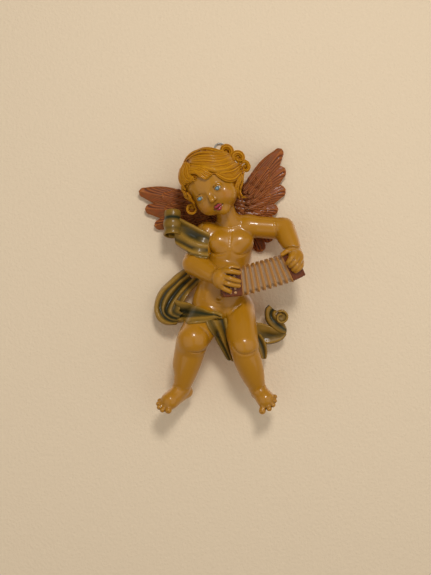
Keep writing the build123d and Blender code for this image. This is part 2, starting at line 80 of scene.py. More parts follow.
# nodes and paints
def addNode(tree, kind, feeds=None, **settings):
    node = tree.nodes.new(kind)
    for key, value in settings.items():
        setattr(node, key, value)
    for socket, value in (feeds or {}).items():
        if isinstance(value, bpy.types.NodeSocket):
            tree.links.new(value, node.inputs[socket])
        else:
            node.inputs[socket].default_value = value
    return node


def calc(tree, operation, first, second=0.0, third=0.0, clamp=False):
    feeds = {0: first, 1: second}
    if operation == "MULTIPLY_ADD":
        feeds[2] = third
    return addNode(tree, "ShaderNodeMath", feeds, operation=operation, use_clamp=clamp).outputs[0]


def mixPaint(tree, share, first, second):
    node = addNode(tree, "ShaderNodeMix", data_type="RGBA")
    for index, value in ((0, share), (6, first), (7, second)):
        if isinstance(value, bpy.types.NodeSocket):
            tree.links.new(value, node.inputs[index])
        else:
            node.inputs[index].default_value = value
    return node.outputs[2]


def linear(red, green, blue):  # a paint as it looks, from 0 to 255
    def one(level):
        level /= 255
        return level / 12.92 if level <= 0.04045 else ((level + 0.055) / 1.055) ** 2.4

    return (one(red), one(green), one(blue), 1.0)


def objectPlaces(tree):
    return addNode(tree, "ShaderNodeTexCoord").outputs["Object"]


def noise(tree, places, scale, detail):
    feeds = {"Vector": places, "Scale": scale, "Detail": detail}
    return addNode(tree, "ShaderNodeTexNoise", feeds).outputs[0]


def bumps(tree, height, strength, distance):
    feeds = {"Height": height, "Strength": strength, "Distance": distance}
    return addNode(tree, "ShaderNodeBump", feeds).outputs[0]


def stored(tree, name):  # a share stored on the mesh
    return addNode(tree, "ShaderNodeAttribute", attribute_name=name).outputs["Fac"]


paintInputs = ("base", "second", "washAndShade", "brushAndHighlight")
amountInputs = ("washAndShadeAmount", "brushAndHighlightAmount", "mottle", "scale", "grain", "gloss")


def buildPaintLayers():  # base coat, second colour, a wash in the hollows that is partly the brown wash and partly painted shade, and a dry brush on the edges that is partly painted highlight
    group = bpy.data.node_groups.new("paintLayers", "ShaderNodeTree")
    for names, kind in ((paintInputs, "NodeSocketColor"), (amountInputs, "NodeSocketFloat")):
        for name in names:
            group.interface.new_socket(name, in_out="INPUT", socket_type=kind)
    outputs = {"color": "NodeSocketColor", "roughness": "NodeSocketFloat", "height": "NodeSocketFloat"}
    for name, kind in outputs.items():
        group.interface.new_socket(name, in_out="OUTPUT", socket_type=kind)
    entry = addNode(group, "NodeGroupInput").outputs
    places = objectPlaces(group)
    clouds = noise(group, places, entry["scale"], 4.0)
    grains = noise(group, places, calc(group, "MULTIPLY", entry["scale"], 5.0), 3.0)
    uneven = calc(group, "SUBTRACT", clouds, 0.5)
    drift = calc(group, "MULTIPLY", uneven, entry["mottle"])
    # painted shade: hollows and joins between parts darken by the stored wash mask; painted highlight: convex
    # edges lighten by the stored rim mask, partly dry brush
    shadeShare = calc(group, "MULTIPLY", stored(group, "washAndShade"), entry["washAndShadeAmount"])
    brushHighlight = calc(group, "MULTIPLY", stored(group, "rim"), entry["brushAndHighlightAmount"])
    patchy = calc(group, "MULTIPLY_ADD", grains, 1.6, -0.3, clamp=True)
    coat = mixPaint(group, stored(group, "mark"), entry["base"], entry["second"])
    shadedCoat = mixPaint(group, calc(group, "ADD", shadeShare, drift, clamp=True), coat, entry["washAndShade"])
    brushed = mixPaint(group, calc(group, "MULTIPLY", brushHighlight, patchy, clamp=True), shadedCoat, entry["brushAndHighlight"])
    rough = calc(group, "ADD", entry["gloss"], calc(group, "MULTIPLY", uneven, 0.15), clamp=True)
    height = calc(group, "MULTIPLY", grains, entry["grain"])
    addNode(group, "NodeGroupOutput", {"color": brushed, "roughness": rough, "height": height})
    return group


paintLayers = buildPaintLayers()


def newMaterial(name):
    material = bpy.data.materials.new(name)
    material.use_nodes = True
    material.node_tree.nodes.clear()
    return material, material.node_tree


def paintMaterial(name, look):
    material, tree = newMaterial(name)
    layers = addNode(tree, "ShaderNodeGroup", node_tree=paintLayers)
    for key in paintInputs:
        layers.inputs[key].default_value = linear(*look[key])
    for key in amountInputs:
        layers.inputs[key].default_value = look[key]
    feeds = {
        "Base Color": layers.outputs["color"],
        "Roughness": layers.outputs["roughness"],
        "Normal": bumps(tree, layers.outputs["height"], look["bump"], 0.0002),
        "Specular IOR Level": look["sheen"],
        "Coat Weight": look["lacquer"],
        "Coat Roughness": look["lacquerRoughness"],
    }
    shader = addNode(tree, "ShaderNodeBsdfPrincipled", feeds)
    addNode(tree, "ShaderNodeOutputMaterial", {"Surface": shader.outputs[0]})
    return material


# each look's wash colour is partly the figure's brown wash and partly painted shade in hollows; its brush
# colour is partly dry brush and partly painted highlight on edges
commonLook = {
    "grain": 1.0,
    "bump": 0.25,
    "sheen": 0.25,
    "lacquer": 0.45,
    "lacquerRoughness": 0.1,
    "scale": 120.0,
}
skinLook = {
    **commonLook,
    "base": (172, 116, 14),
    "second": (158, 40, 62),
    "washAndShade": (92, 54, 6),
    "brushAndHighlight": (186, 130, 40),
    "washAndShadeAmount": 1.1,
    "brushAndHighlightAmount": 0.35,
    "mottle": 0.10,
    "gloss": 0.34,
}
hairLook = {
    **commonLook,
    "base": (182, 120, 0),
    "second": (150, 88, 2),
    "washAndShade": (122, 62, 2),
    "brushAndHighlight": (214, 160, 36),
    "washAndShadeAmount": 1.25,
    "brushAndHighlightAmount": 0.8,
    "mottle": 0.35,
    "gloss": 0.45,
    "sheen": 0.12,
    "lacquer": 0.1,
}
wingLook = {
    **commonLook,
    "base": (146, 72, 24),
    "second": (112, 52, 20),
    "washAndShade": (64, 28, 6),
    "brushAndHighlight": (186, 122, 56),
    "washAndShadeAmount": 1.2,
    "brushAndHighlightAmount": 1.1,
    "mottle": 0.5,
    "scale": 300.0,
    "gloss": 0.47,
    "sheen": 0.15,
    "lacquer": 0.1,
}
drapeLook = {
    **commonLook,
    "base": (148, 110, 34),
    "second": (34, 42, 26),
    "washAndShade": (40, 36, 16),
    "brushAndHighlight": (176, 132, 50),
    "washAndShadeAmount": 0.85,
    "brushAndHighlightAmount": 0.6,
    "sheen": 0.18,
    "lacquer": 0.15,
    "mottle": 0.35,
    "scale": 180.0,
    "gloss": 0.36,
}
bellowsLook = {
    **commonLook,
    "base": (176, 146, 114),
    "second": (176, 122, 58),
    "washAndShade": (126, 98, 76),
    "brushAndHighlight": (196, 144, 78),
    "washAndShadeAmount": 0.8,
    "brushAndHighlightAmount": 0.5,
    "mottle": 0.3,
    "scale": 260.0,
    "gloss": 0.3,
}
boxLook = {
    **commonLook,
    "base": (106, 48, 10),
    "second": (150, 84, 36),
    "washAndShade": (52, 20, 4),
    "brushAndHighlight": (176, 112, 60),
    "washAndShadeAmount": 1.0,
    "brushAndHighlightAmount": 1.0,
    "mottle": 0.5,
    "scale": 320.0,
    "gloss": 0.36,
    "sheen": 0.15,
    "lacquer": 0.3,
}
buttonLook = {**boxLook, "base": (206, 170, 120), "second": (110, 44, 26), "mottle": 0.2}
eyeLook = {
    **commonLook,
    "base": (214, 208, 196),
    "second": (120, 176, 200),
    "washAndShade": (60, 66, 72),
    "brushAndHighlight": (240, 240, 236),
    "washAndShadeAmount": 0.4,
    "brushAndHighlightAmount": 0.2,
    "mottle": 0.05,
    "gloss": 0.2,
    "lacquer": 0.9,
}
gazeRings = ((0.0, "pupil"), (0.07, "iris"), (0.30, "rim"), (0.36, "white"), (1.0, "white"))
gazePaints = {"pupil": (58, 88, 112), "iris": (140, 168, 178), "rim": (58, 66, 70), "white": (200, 186, 158)}
paints = {
    "skin": paintMaterial("lacqueredSkin", skinLook),
    "hair": paintMaterial("goldenHair", hairLook),
    "wings": paintMaterial("mahoganyWings", wingLook),
    "drape": paintMaterial("oliveDrapery", drapeLook),
    "bellows": paintMaterial("translucentBellows", bellowsLook),
    "box": paintMaterial("redBrownBox", boxLook),
    "buttons": paintMaterial("pearlButtons", buttonLook),
}


def gazeMaterial():  # the paint rings run outwards from the pupil
    material = paintMaterial("paintedEyes", eyeLook)
    tree = material.node_tree
    layers = next(node for node in tree.nodes if node.type == "GROUP")
    ramp = addNode(tree, "ShaderNodeValToRGB", {"Fac": stored(tree, "gaze")})
    stops = ramp.color_ramp.elements
    while len(stops) < len(gazeRings):
        stops.new(0.5)
    for stop, (place, paint) in zip(stops, gazeRings):
        stop.position = place
        stop.color = linear(*gazePaints[paint])
    tree.links.new(ramp.outputs[0], layers.inputs["base"])
    return material


paints["eyes"] = gazeMaterial()
print("paints mixed")


# distance fields, in mm
def at(x, d, z):  # d is the distance in front of the wall
    return np.array((x, -d, z), float)


def unit(v):
    return v / np.linalg.norm(v)


def size(v):
    return np.sqrt(np.einsum("ij,ij->i", v, v))


def melt(a, b, k):  # a and b joined with a fillet
    h = np.clip(0.5 + 0.5 * (b - a) / k, 0, 1)
    return b + (a - b) * h - k * h * (1 - h)


def carve(a, b, k=0.3):  # a without b
    return -melt(-a, b, k)


def keep(a, b, k=0.3):  # what a and b share
    return -melt(-a, -b, k)


def ball(p, centre, radius):
    return size(p - centre) - radius


def egg(p, centre, radii, axes=None):
    q = p - centre
    if axes is not None:
        q = q @ axes
    q = q / radii
    first, second = size(q), size(q / radii)
    return first * (first - 1) / np.maximum(second, 1e-6)


def bone(p, start, end, startRadius, endRadius, belly=0.0):
    along = end - start
    share = np.clip(((p - start) @ along) / (along @ along), 0, 1)
    radius = startRadius + (endRadius - startRadius) * share + belly * 4 * share * (1 - share)
    return size(p - start - share[:, None] * along) - radius


def smoothLine(points, parts=4):  # a curve through the points
    points = np.array(points, float)
    ends = np.vstack((2 * points[0] - points[1], points, 2 * points[-1] - points[-2]))
    line = []
    for i in range(len(points) - 1):
        a, b, c, d = ends[i : i + 4]
        for t in np.arange(parts) / parts:
            bend, twist = 2 * a - 5 * b + 4 * c - d, 3 * b - a - 3 * c + d
            line.append(0.5 * (2 * b + (c - a) * t + bend * t**2 + twist * t**3))
    line.append(points[-1])
    return np.array(line)


def cord(p, points, radii, parts=4, far=6.0):  # a tapering cord through the points
    line = smoothLine(points, parts)
    widths = np.interp(np.linspace(0, 1, len(line)), np.linspace(0, 1, len(radii)), radii)
    low, high = line.min(0) - widths.max() - far, line.max(0) + widths.max() + far
    near = np.nonzero(((p > low) & (p < high)).all(1))[0]
    found = np.full(len(p), far)
    if len(near):
        q = p[near]
        best = np.full(len(q), 1e3)
        for i in range(len(line) - 1):
            best = np.minimum(best, bone(q, line[i], line[i + 1], widths[i], widths[i + 1]))
        found[near] = np.minimum(best, far)
    return found


def crease(p, line, depth, width=1.0, front=20.0):  # a groove along (x, z) spots, seen from the front
    line = smoothLine([(x, 0, z) for x, z in line], 3)
    low, high = line.min(0) - 3 * width, line.max(0) + 3 * width
    near = np.nonzero(((p > low) & (p < high))[:, (0, 2)].all(1) & (p[:, 1] < -front))[0]
    sunk = np.zeros(len(p))
    if len(near):
        q = p[near] * (1, 0, 1)
        for i in range(len(line) - 1):
            share = math.sin(math.pi * (i + 0.5) / (len(line) - 1)) ** 0.6
            reach = bone(q, line[i], line[i + 1], 0, 0) / width
            sunk[near] = np.maximum(sunk[near], share * np.exp(-(reach**2)))
        sunk[near] *= np.clip(-(p[near, 1] + front) / 2, 0, 1)
    return depth * sunk


def turned(x=0.0, y=0.0, z=0.0):  # rotation about x, then z, then y, in degrees
    cx, sx = math.cos(math.radians(x)), math.sin(math.radians(x))
    cy, sy = math.cos(math.radians(y)), math.sin(math.radians(y))
    cz, sz = math.cos(math.radians(z)), math.sin(math.radians(z))
    aboutX = np.array(((1, 0, 0), (0, cx, -sx), (0, sx, cx)))
    aboutY = np.array(((cy, 0, sy), (0, 1, 0), (-sy, 0, cy)))
    aboutZ = np.array(((cz, -sz, 0), (sz, cz, 0), (0, 0, 1)))
    return aboutY @ aboutZ @ aboutX


# meshes from fields
cubeCorners = [(i, j, k) for i in (0, 1) for j in (0, 1) for k in (0, 1)]
cubeEdges = [
    (a, b)
    for a in cubeCorners
    for b in cubeCorners
    if sum(b) - sum(a) == 1 and all(x <= y for x, y in zip(a, b))
]
sampling = {"block": 4, "near": 1.9, "settle": 2}  # cells of a block, reach of the fine pass, last steps


def slope(field, p, reach=0.04):
    sides = []
    for axis in range(3):
        shift = np.zeros(3)
        shift[axis] = reach
        sides.append((field(p + shift) - field(p - shift)) / (2 * reach))
    return np.stack(sides, -1)


def netSurface(field, low, high, step):  # quads round the field's zero
    low = np.array(low, float)
    span = sampling["block"]
    blocks = np.ceil((np.array(high, float) - low) / (step * span)).astype(int)
    middles = np.stack(np.meshgrid(*[np.arange(n) for n in blocks], indexing="ij"), -1).reshape(-1, 3)
    rough = field(low + step * (span * middles + (span - 1) / 2)).reshape(blocks)
    busy = np.abs(rough) < sampling["near"] * step * span
    for axis in range(3):
        rough = rough.repeat(span, axis)
        busy = busy.repeat(span, axis)
    rough[busy] = field(low + step * np.argwhere(busy))
    inside = rough < 0
    cells = tuple(n - 1 for n in inside.shape)
    shifted = [inside[tuple(slice(i, i + n) for i, n in zip(c, cells))] for c in cubeCorners]
    total = sum(corner.astype(np.int8) for corner in shifted)
    mixed = (total > 0) & (total < 8)
    spots = np.argwhere(mixed)
    number = np.full(cells, -1, np.int64)
    number[mixed] = np.arange(len(spots))
    level = {c: rough[tuple((spots + c).T)] for c in cubeCorners}
    place = np.zeros((len(spots), 3))
    hits = np.zeros(len(spots))
    for a, b in cubeEdges:
        crossed = (level[a] < 0) != (level[b] < 0)
        share = np.where(crossed, level[a] / np.where(crossed, level[a] - level[b], 1), 0)
        place += crossed[:, None] * (np.array(a) + share[:, None] * (np.array(b) - a))
        hits += crossed
    points = low + step * (spots + place / hits[:, None])
    quads = []
    for axis in range(3):
        one, side, other = np.eye(3, dtype=int)[[axis, (axis + 1) % 3, (axis + 2) % 3]]
        first = inside[: inside.shape[0] - one[0], : inside.shape[1] - one[1], : inside.shape[2] - one[2]]
        last = inside[one[0] :, one[1] :, one[2] :]
        edges = np.argwhere(first != last)
        whole = ((edges - side - other) >= 0).all(1) & (edges < np.array(cells)).all(1)
        edges = edges[whole]
        ring = [number[tuple((edges - shift).T)] for shift in (0 * side, side, side + other, other)]
        ring = np.stack(ring, -1)
        outward = first[tuple(edges.T)]
        quads.append(np.where(outward[:, None], ring, ring[:, ::-1]))
    quads = np.concatenate(quads)
    for _ in range(sampling["settle"]):
        lean = slope(field, points)
        push = field(points) / np.maximum(np.einsum("ij,ij->i", lean, lean), 0.3)
        points = points - lean * np.clip(push, -0.5 * step, 0.5 * step)[:, None]
    return points, quads


def newPiece(name, points, faces, normals=None, marks=None):
    mesh = bpy.data.meshes.new(name)
    faces = faces.tolist() if hasattr(faces, "tolist") else faces
    mesh.from_pydata((points * millimetre).tolist(), [], faces)
    mesh.polygons.foreach_set("use_smooth", np.ones(len(mesh.polygons), bool))
    if normals is not None:
        mesh.normals_split_custom_set_from_vertices(normals.tolist())
    for key, values in (marks or {}).items():
        mesh.attributes.new(key, "FLOAT", "POINT").data.foreach_set("value", np.asarray(values, np.float32))
    mesh.update()
    piece = bpy.data.objects.new(name, mesh)
    bpy.context.scene.collection.objects.link(piece)
    return piece


def fit(piece, paint, slot, body, *nodes):  # every piece's paint, body and what it stands for; slot is not used
    piece.data.materials.append(paint)
    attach(piece, body)
    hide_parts(*nodes)
    return piece


def sculpt(name, field, node, step, around=None, spare=3.5, hollow=1.0, extra=None):  # a field as a mesh
    low, high = (np.array(corner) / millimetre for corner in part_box(node))
    points, quads = netSurface(field, low - spare, high + spare, step)
    lean = slope(field, points)
    normals = lean / np.maximum(size(lean), 1e-6)[:, None]
    outer = field(points + normals * hollow)
    if around is not None:
        outer = np.minimum(outer, around(points + normals * hollow))
    # wash: painted shade in the hollows and where the piece meets its neighbour, partly the figure's brown
    # wash; rim: convex edges that take the dry brush, partly a painted highlight
    marks = {
        "washAndShade": np.clip(1 - outer / hollow, 0, 1),
        "rim": np.clip(1 + field(points - normals * hollow) / hollow, 0, 1),
    }
    if extra:
        marks.update(extra(points))
    print(name, len(quads), "faces")
    return newPiece(name, points, quads, normals, marks)


# body
body = {
    "neckBase": at(7.4, 16, -63),
    "neckTop": at(2.6, 21.5, -49),
    "neckRadius": 7.2,
    "shoulderLeft": at(21.8, 15.5, -63.6),
    "elbowLeft": at(46.8, 17.4, -65.4),
    "wristLeft": at(53.6, 30, -83.0),
    "shoulderRight": at(-9.5, 17, -68.5),
    "elbowRight": at(-18.6, 21.5, -91.0),
    "wristRight": at(-3.6, 36.5, -101.0),
    "hipLeft": at(12.8, 16, -125),
    "kneeLeft": at(16.8, 36.5, -149.5),
    "ankleLeft": at(27.2, 22, -182),
    "hipRight": at(-8.0, 16, -127),
    "kneeRight": at(-19.4, 37.4, -145.5),
    "ankleRight": at(-28.2, 21, -182),
}
trunkRings = np.array(
    (  # height, x, distance from the wall, half width, half depth
        (-139.0, 1.0, 15, 8.0, 7.5),
        (-132.0, 0.6, 14, 17.0, 14.0),
        (-124.0, 0.2, 13, 21.2, 17.2),
        (-115.0, 0.6, 13, 20.4, 17.8),
        (-103.0, 2.6, 13, 17.8, 17.0),
        (-92.0, 5.2, 13, 16.6, 14.4),
        (-80.0, 7.0, 13, 17.0, 15.2),
        (-72.0, 7.2, 13, 16.0, 13.6),
        (-64.0, 7.2, 14, 11.0, 9.4),
        (-56.0, 5.6, 17, 6.6, 6.6),
    )
)
trunkLine = smoothLine(trunkRings, 8)


def trunk(p):
    order = p[:, 2]
    x, d, half, deep = (np.interp(order, trunkLine[:, 0], trunkLine[:, i]) for i in (1, 2, 3, 4))
    flat = np.stack(((p[:, 0] - x) / half, (p[:, 1] + d) / deep), -1)
    first = size(flat)
    second = size(flat / np.stack((half, deep), -1))
    side = first * (first - 1) / np.maximum(second, 1e-6)
    return keep(side, np.maximum(-137.5 - order, order + 58.0), 5.0)


headAxes = turned(12, -33, -25)
headCentre = at(-5.4, 28.2, -33.6)
trunkForms = {
    "chest": ((at(-1.0, 18.8, -75.6), (10.4, 9.4, 9.4)), (at(14.6, 18.4, -75.2), (10.2, 9.2, 9.4))),
    "belly": (at(2.6, 15.4, -102.5), (17.6, 16.6, 18.6)),
    "shoulderLine": (at(10.6, 15.6, -61.4), at(22.0, 15.0, -61.8), 6.6, 6.4),
    "navel": (at(-1.3, 31.4, -116.4), 1.3),
    "navelFold": ((at(-3.0, 30.2, -118.2), at(-1.3, 30.6, -118.8), at(0.4, 30.2, -118.2)), (0.6, 0.9, 0.6)),
}
creases = {  # (x, z) spots, depth, width and the distance from the wall where the crease begins
    "torso": (
        (((7.6, -63.6), (7.8, -70.0), (7.2, -76.4), (6.8, -83.0)), 0.3, 1.0, 14.0),
        (((-10.2, -76.4), (-8.4, -80.6), (-4.4, -84.0), (0.4, -84.6), (5.4, -83.0)), 0.75, 1.1, 14.0),
        (((8.8, -83.4), (13.2, -85.2), (18.0, -84.0), (22.0, -80.4)), 0.75, 1.1, 14.0),
        (((-2.6, -62.6), (1.6, -63.8), (6.6, -65.0), (11.4, -63.8), (15.6, -62.2)), 0.5, 1.0, 14.0),
        (((-15.0, -101.0), (-13.4, -107.5), (-12.4, -113.5), (-12.0, -120.5)), 0.35, 1.2, 14.0),
        (((-6.0, -121.4), (-1.0, -123.4), (4.4, -123.6)), 0.35, 1.2, 14.0),
    ),
    "armLeft": (
        (((44.6, -82.4), (50.1, -80.0), (58.6, -79.8)), 0.8, 0.8, 20.0),
        (((39.8, -60.6), (40.4, -66.8), (42.8, -73.2)), 0.6, 1.0, 14.0),
    ),
    "armRight": (
        (((-24.6, -86.4), (-18.0, -84.8), (-11.0, -86.8)), 0.7, 1.0, 20.0),
        (((-1.6, -94.4), (-3.6, -98.6), (-3.8, -103.4), (-2.0, -108.2)), 0.8, 0.8, 30.0),
    ),
    "legLeft": (
        (((7.6, -147.0), (10.4, -152.4), (15.0, -155.6), (20.6, -155.4), (25.4, -152.4)), 0.7, 0.9, 20.0),
        (((7.0, -128.6), (9.6, -125.6), (12.8, -122.8), (17.6, -119.6)), 0.6, 0.9, 20.0),
        (((23.4, -185.6), (27.9, -182.9), (33.2, -179.4)), 0.6, 0.9, 14.0),
    ),
    "legRight": (
        (((-22.6, -153.8), (-17.3, -154.6), (-12.7, -153.8), (-8.4, -150.6)), 0.8, 0.9, 20.0),
        (((-15.4, -136.0), (-11.2, -139.4), (-8.6, -143.4), (-8.2, -149.0)), 0.6, 0.9, 20.0),
        (((-36.0, -181.4), (-30.0, -184.0), (-23.0, -182.6)), 0.6, 0.9, 14.0),
    ),
}


def creased(f, p, part):
    for line, depth, width, front in creases[part]:
        f = f + crease(p, line, depth, width, front)
    return f


def torsoCore(p):
    f = trunk(p)
    for side, shoulder in ((1, "shoulderLeft"), (-1, "shoulderRight")):
        f = melt(f, bone(p, body["neckBase"] + np.array((side * 3, 0, -5)), body[shoulder], 7.0, 7.6), 3.0)
    f = melt(f, bone(p, *trunkForms["shoulderLine"]), 3.0)
    f = melt(f, bone(p, body["neckBase"], body["neckTop"], body["neckRadius"], body["neckRadius"]), 4.0)
    for half in trunkForms["chest"]:
        f = melt(f, egg(p, *half), 2.2)
    f = melt(f, egg(p, *trunkForms["belly"]), 1.6)
    for hip in ("hipLeft", "hipRight"):
        f = melt(f, bone(p, at(1, 16, -121), body[hip], 12.0, 12.2), 3.0)
    f = carve(f, ball(p, *trunkForms["navel"]), 0.8)
    f = melt(f, cord(p, *trunkForms["navelFold"]), 1.0)
    return creased(f, p, "torso")


limbBones = {  # start, end, their radii, belly between them and fillet to the bones before
    "armLeft": (
        (body["shoulderLeft"], body["elbowLeft"], 8.0, 8.1, 0.0, None),
        (body["elbowLeft"], body["wristLeft"], 8.3, 5.4, 0.5, 1.0),
    ),
    "armRight": (
        (body["shoulderRight"], body["elbowRight"], 8.2, 8.8, 0.0, None),
        (body["elbowRight"], body["wristRight"], 8.8, 5.6, 0.6, 1.5),
    ),
    "legLeft": (
        (body["hipLeft"], body["kneeLeft"], 12.4, 10.6, 0.4, None),
        (body["kneeLeft"] + np.array((0.6, 2, -5)), body["ankleLeft"], 9.8, 5.8, 1.4, 1.4),
    ),
    "legRight": (
        (body["hipRight"], body["kneeRight"], 12.4, 11.4, 0.4, None),
        (body["kneeRight"] + np.array((-0.6, 3, -5)), body["ankleRight"], 10.0, 6.0, 1.0, 3.2),
        (at(-23.0, 31.0, -149.0), at(-26.0, 25.0, -164.0), 9.0, 8.6, 0.0, 3.0),
    ),
}
joints = {  # seat, far end, reach of the fillet and fillet
    "armLeft": (body["shoulderLeft"], body["elbowLeft"], 11.0, 2.5),
    "armRight": (body["shoulderRight"], body["elbowRight"], 11.0, 2.5),
    "legLeft": (body["hipLeft"], body["kneeLeft"], 16.0, 2.2),
    "legRight": (body["hipRight"], body["kneeRight"], 16.0, 2.2),
}


def limbCore(p, limb):
    f = None
    for start, end, startRadius, endRadius, belly, fillet in limbBones[limb]:
        one = bone(p, start, end, startRadius, endRadius, belly)
        f = one if f is None else melt(f, one, fillet)
    return creased(f, p, limb)


def beyond(p, limb):  # above 0 past the seat, on the limb's side
    seat, far, _, _ = joints[limb]
    return (p - seat) @ unit(far - seat)


def fading(p, limb):
    seat, _, reach, _ = joints[limb]
    return 2.0 * np.maximum(size(p - seat) - reach, 0)


def torsoField(p):
    f = torsoCore(p)
    for limb in joints:
        fillet = joints[limb][3]
        f = melt(f, limbCore(p, limb) + fading(p, limb), fillet)
    for limb, (seat, _, reach, _) in joints.items():
        past = beyond(p, limb)
        away = size(p - seat) - reach
        f = f + 0.05 * np.clip(1 - away / 3, 0, 1) * np.clip(1 + past / 3, 0, 1)
        f = np.maximum(f, -np.maximum(-past, away + 1.2))
    return np.maximum(f, p[:, 1] + 0.1)


def limbField(p, limb):
    fillet = joints[limb][3]
    f = melt(limbCore(p, limb), torsoCore(p) + fading(p, limb), fillet)
    past = beyond(p, limb)
    tucked = f + 0.12 * np.clip(-past, 0, 4)
    return np.maximum(np.maximum(tucked, -past - 2.5), p[:, 1] + 0.1)


hands = {  # palm and its radii; fingers and thumb as x, distance from the wall and height
    "armLeft": {
        "palm": (at(54.2, 36.0, -86.8), (5.6, 6.0, 6.0)),
        "knuckles": (at(51.4, 40.4, -86.6), at(52.8, 39.4, -92.6), 3.5, 3.2),
        "fingers": (
            ((51.6, 40.6, -84.6), (50.4, 43.2, -87.4), (48.6, 43.4, -90.0), (47.6, 41.8, -91.4)),
            ((54.6, 40.2, -86.4), (53.0, 43.0, -89.8), (50.9, 43.0, -92.2), (49.7, 41.4, -93.4)),
            ((56.8, 39.0, -88.6), (54.9, 42.2, -92.2), (53.0, 42.4, -94.6), (51.8, 40.8, -95.8)),
            ((57.8, 37.4, -91.0), (56.8, 40.8, -93.8), (54.8, 41.4, -95.8), (53.6, 40.0, -97.0)),
        ),
        "fingerRadii": (2.1, 2.0, 1.75),
        "web": 0.45,
        "thumb": ((52.0, 37.6, -82.6), (47.6, 40.6, -83.0), (43.9, 41.0, -85.2)),
        "thumbRadii": (2.3, 1.9, 1.5),
    },
    "armRight": {
        "palm": (at(0.6, 42.4, -102.6), (6.6, 6.6, 7.6)),
        "knuckles": None,
        "fingers": (
            ((3.2, 46.4, -97.2), (6.4, 48.6, -97.4), (10.0, 48.6, -97.8), (12.8, 47.2, -98.4)),
            ((3.2, 47.0, -101.2), (6.2, 49.0, -102.4), (10.0, 48.8, -103.6), (13.0, 47.4, -104.4)),
            ((2.4, 46.8, -104.8), (5.0, 48.8, -105.8), (9.0, 48.6, -106.8), (12.8, 47.2, -107.4)),
            ((1.0, 45.6, -108.0), (2.6, 47.6, -109.2), (5.0, 47.4, -110.6), (6.6, 46.4, -111.4)),
        ),
        "fingerRadii": (2.1, 1.9, 1.65),
        "web": 0.4,
        "thumb": ((1.6, 43.6, -97.4), (6.6, 45.6, -94.6), (12.2, 45.4, -94.8)),
        "thumbRadii": (2.4, 2.0, 1.5),
    },
}


def handField(p, limb):
    hand = hands[limb]
    f = egg(p, *hand["palm"])
    digits = None
    for finger in hand["fingers"]:
        one = cord(p, [at(*spot) for spot in finger], hand["fingerRadii"])
        digits = one if digits is None else melt(digits, one, hand["web"])
    if hand["knuckles"]:
        f = melt(f, bone(p, *hand["knuckles"]), 1.5)
    f = melt(f, digits, 1.2)
    return melt(f, cord(p, [at(*spot) for spot in hand["thumb"]], hand["thumbRadii"]), 0.9)


feet = {
    "legLeft": {
        "ankle": "ankleLeft",
        "heel": at(27.8, 14.6, -186.6),
        "ball": at(32.8, 25.4, -189.8),
        "toes": (
            ((30.4, 29.0, -198.0), 2.5, 0.9),
            ((35.4, 29.8, -196.2), 1.95, 0.5),
            ((38.2, 28.8, -193.6), 1.85, 0.5),
            ((39.4, 27.2, -190.8), 1.8, 0.5),
            ((39.8, 25.4, -188.2), 1.7, 0.5),
        ),
    },
    "legRight": {
        "ankle": "ankleRight",
        "heel": at(-25.2, 14.6, -185.8),
        "ball": at(-36.4, 26.6, -190.8),
        "toes": (
            ((-37.4, 31.2, -197.2), 2.5, 0.9),
            ((-41.6, 31.2, -196.8), 2.0, 0.5),
            ((-44.0, 29.8, -195.2), 1.9, 0.5),
            ((-44.8, 27.8, -193.0), 1.8, 0.5),
            ((-44.0, 25.8, -191.0), 1.7, 0.5),
        ),
    },
}


def footField(p, limb):
    foot = feet[limb]
    ankle = body[foot["ankle"]]
    f = bone(p, ankle, foot["heel"], 5.6, 4.6)
    f = melt(f, bone(p, foot["heel"], foot["ball"], 4.6, 6.2), 2.0)
    f = melt(f, bone(p, ankle, foot["ball"], 5.6, 6.0), 2.0)
    toes = None
    for place, radius, _ in foot["toes"]:
        tip = at(*place)
        toe = bone(p, tip + (foot["ball"] - tip) * 0.55, tip, 0.95 * radius, radius)
        toes = toe if toes is None else melt(toes, toe, 0.45)
    f = melt(f, toes, 1.5)
    for place, radius, nail in foot["toes"]:  # nails
        tip = at(*place)
        outward = unit(unit(tip - foot["ball"]) + np.array((0, -1.0, 0.3)))
        f = carve(f, ball(p, tip + outward * (radius + 0.15), nail * 0.55), 0.3)
    return f


def skinField(limb):
    if limb is None:
        return torsoField
    end = handField if limb in hands else footField
    return lambda p: melt(limbField(p, limb), end(p, limb), 1.6)


skinPieces = (  # piece, limb, node, mesh step and what else shades its hollows
    ("torsoSkin", None, "torso", 0.7, None),
    ("armLeftSkin", "armLeft", "arm_left", 0.5, None),
    ("armRightSkin", "armRight", "arm_right", 0.5, torsoField),
    ("legLeftSkin", "legLeft", "leg_left", 0.55, None),
    ("legRightSkin", "legRight", "leg_right", 0.55, None),
)
for name, limb, node, step, around in skinPieces:
    fit(sculpt(name, skinField(limb), node, step, around), paints["skin"], "skin", "figure", node)
print("body sculpted")


# strips, locks and feathers from curves
def resampled(points, count):
    line = smoothLine(points, 8)
    steps = np.concatenate(((0,), np.cumsum(size(np.diff(line, axis=0)))))
    places = np.linspace(0, steps[-1], count)
    return np.stack([np.interp(places, steps, line[:, i]) for i in range(3)], -1)


def rowsOf(v):
    return v / np.maximum(np.linalg.norm(v, axis=-1, keepdims=True), 1e-6)


def tubeFaces(rows, columns, first=0):  # a closed ring of rows along the columns, with both ends shut
    i, j = np.meshgrid(np.arange(rows), np.arange(columns - 1), indexing="ij")
    after = (i + 1) % rows
    quads = np.stack((i * columns + j, after * columns + j, after * columns + j + 1, i * columns + j + 1), -1)
    start = np.arange(rows) * columns + first
    return (quads.reshape(-1, 4) + first).tolist() + [start.tolist()[::-1], (start + columns - 1).tolist()]


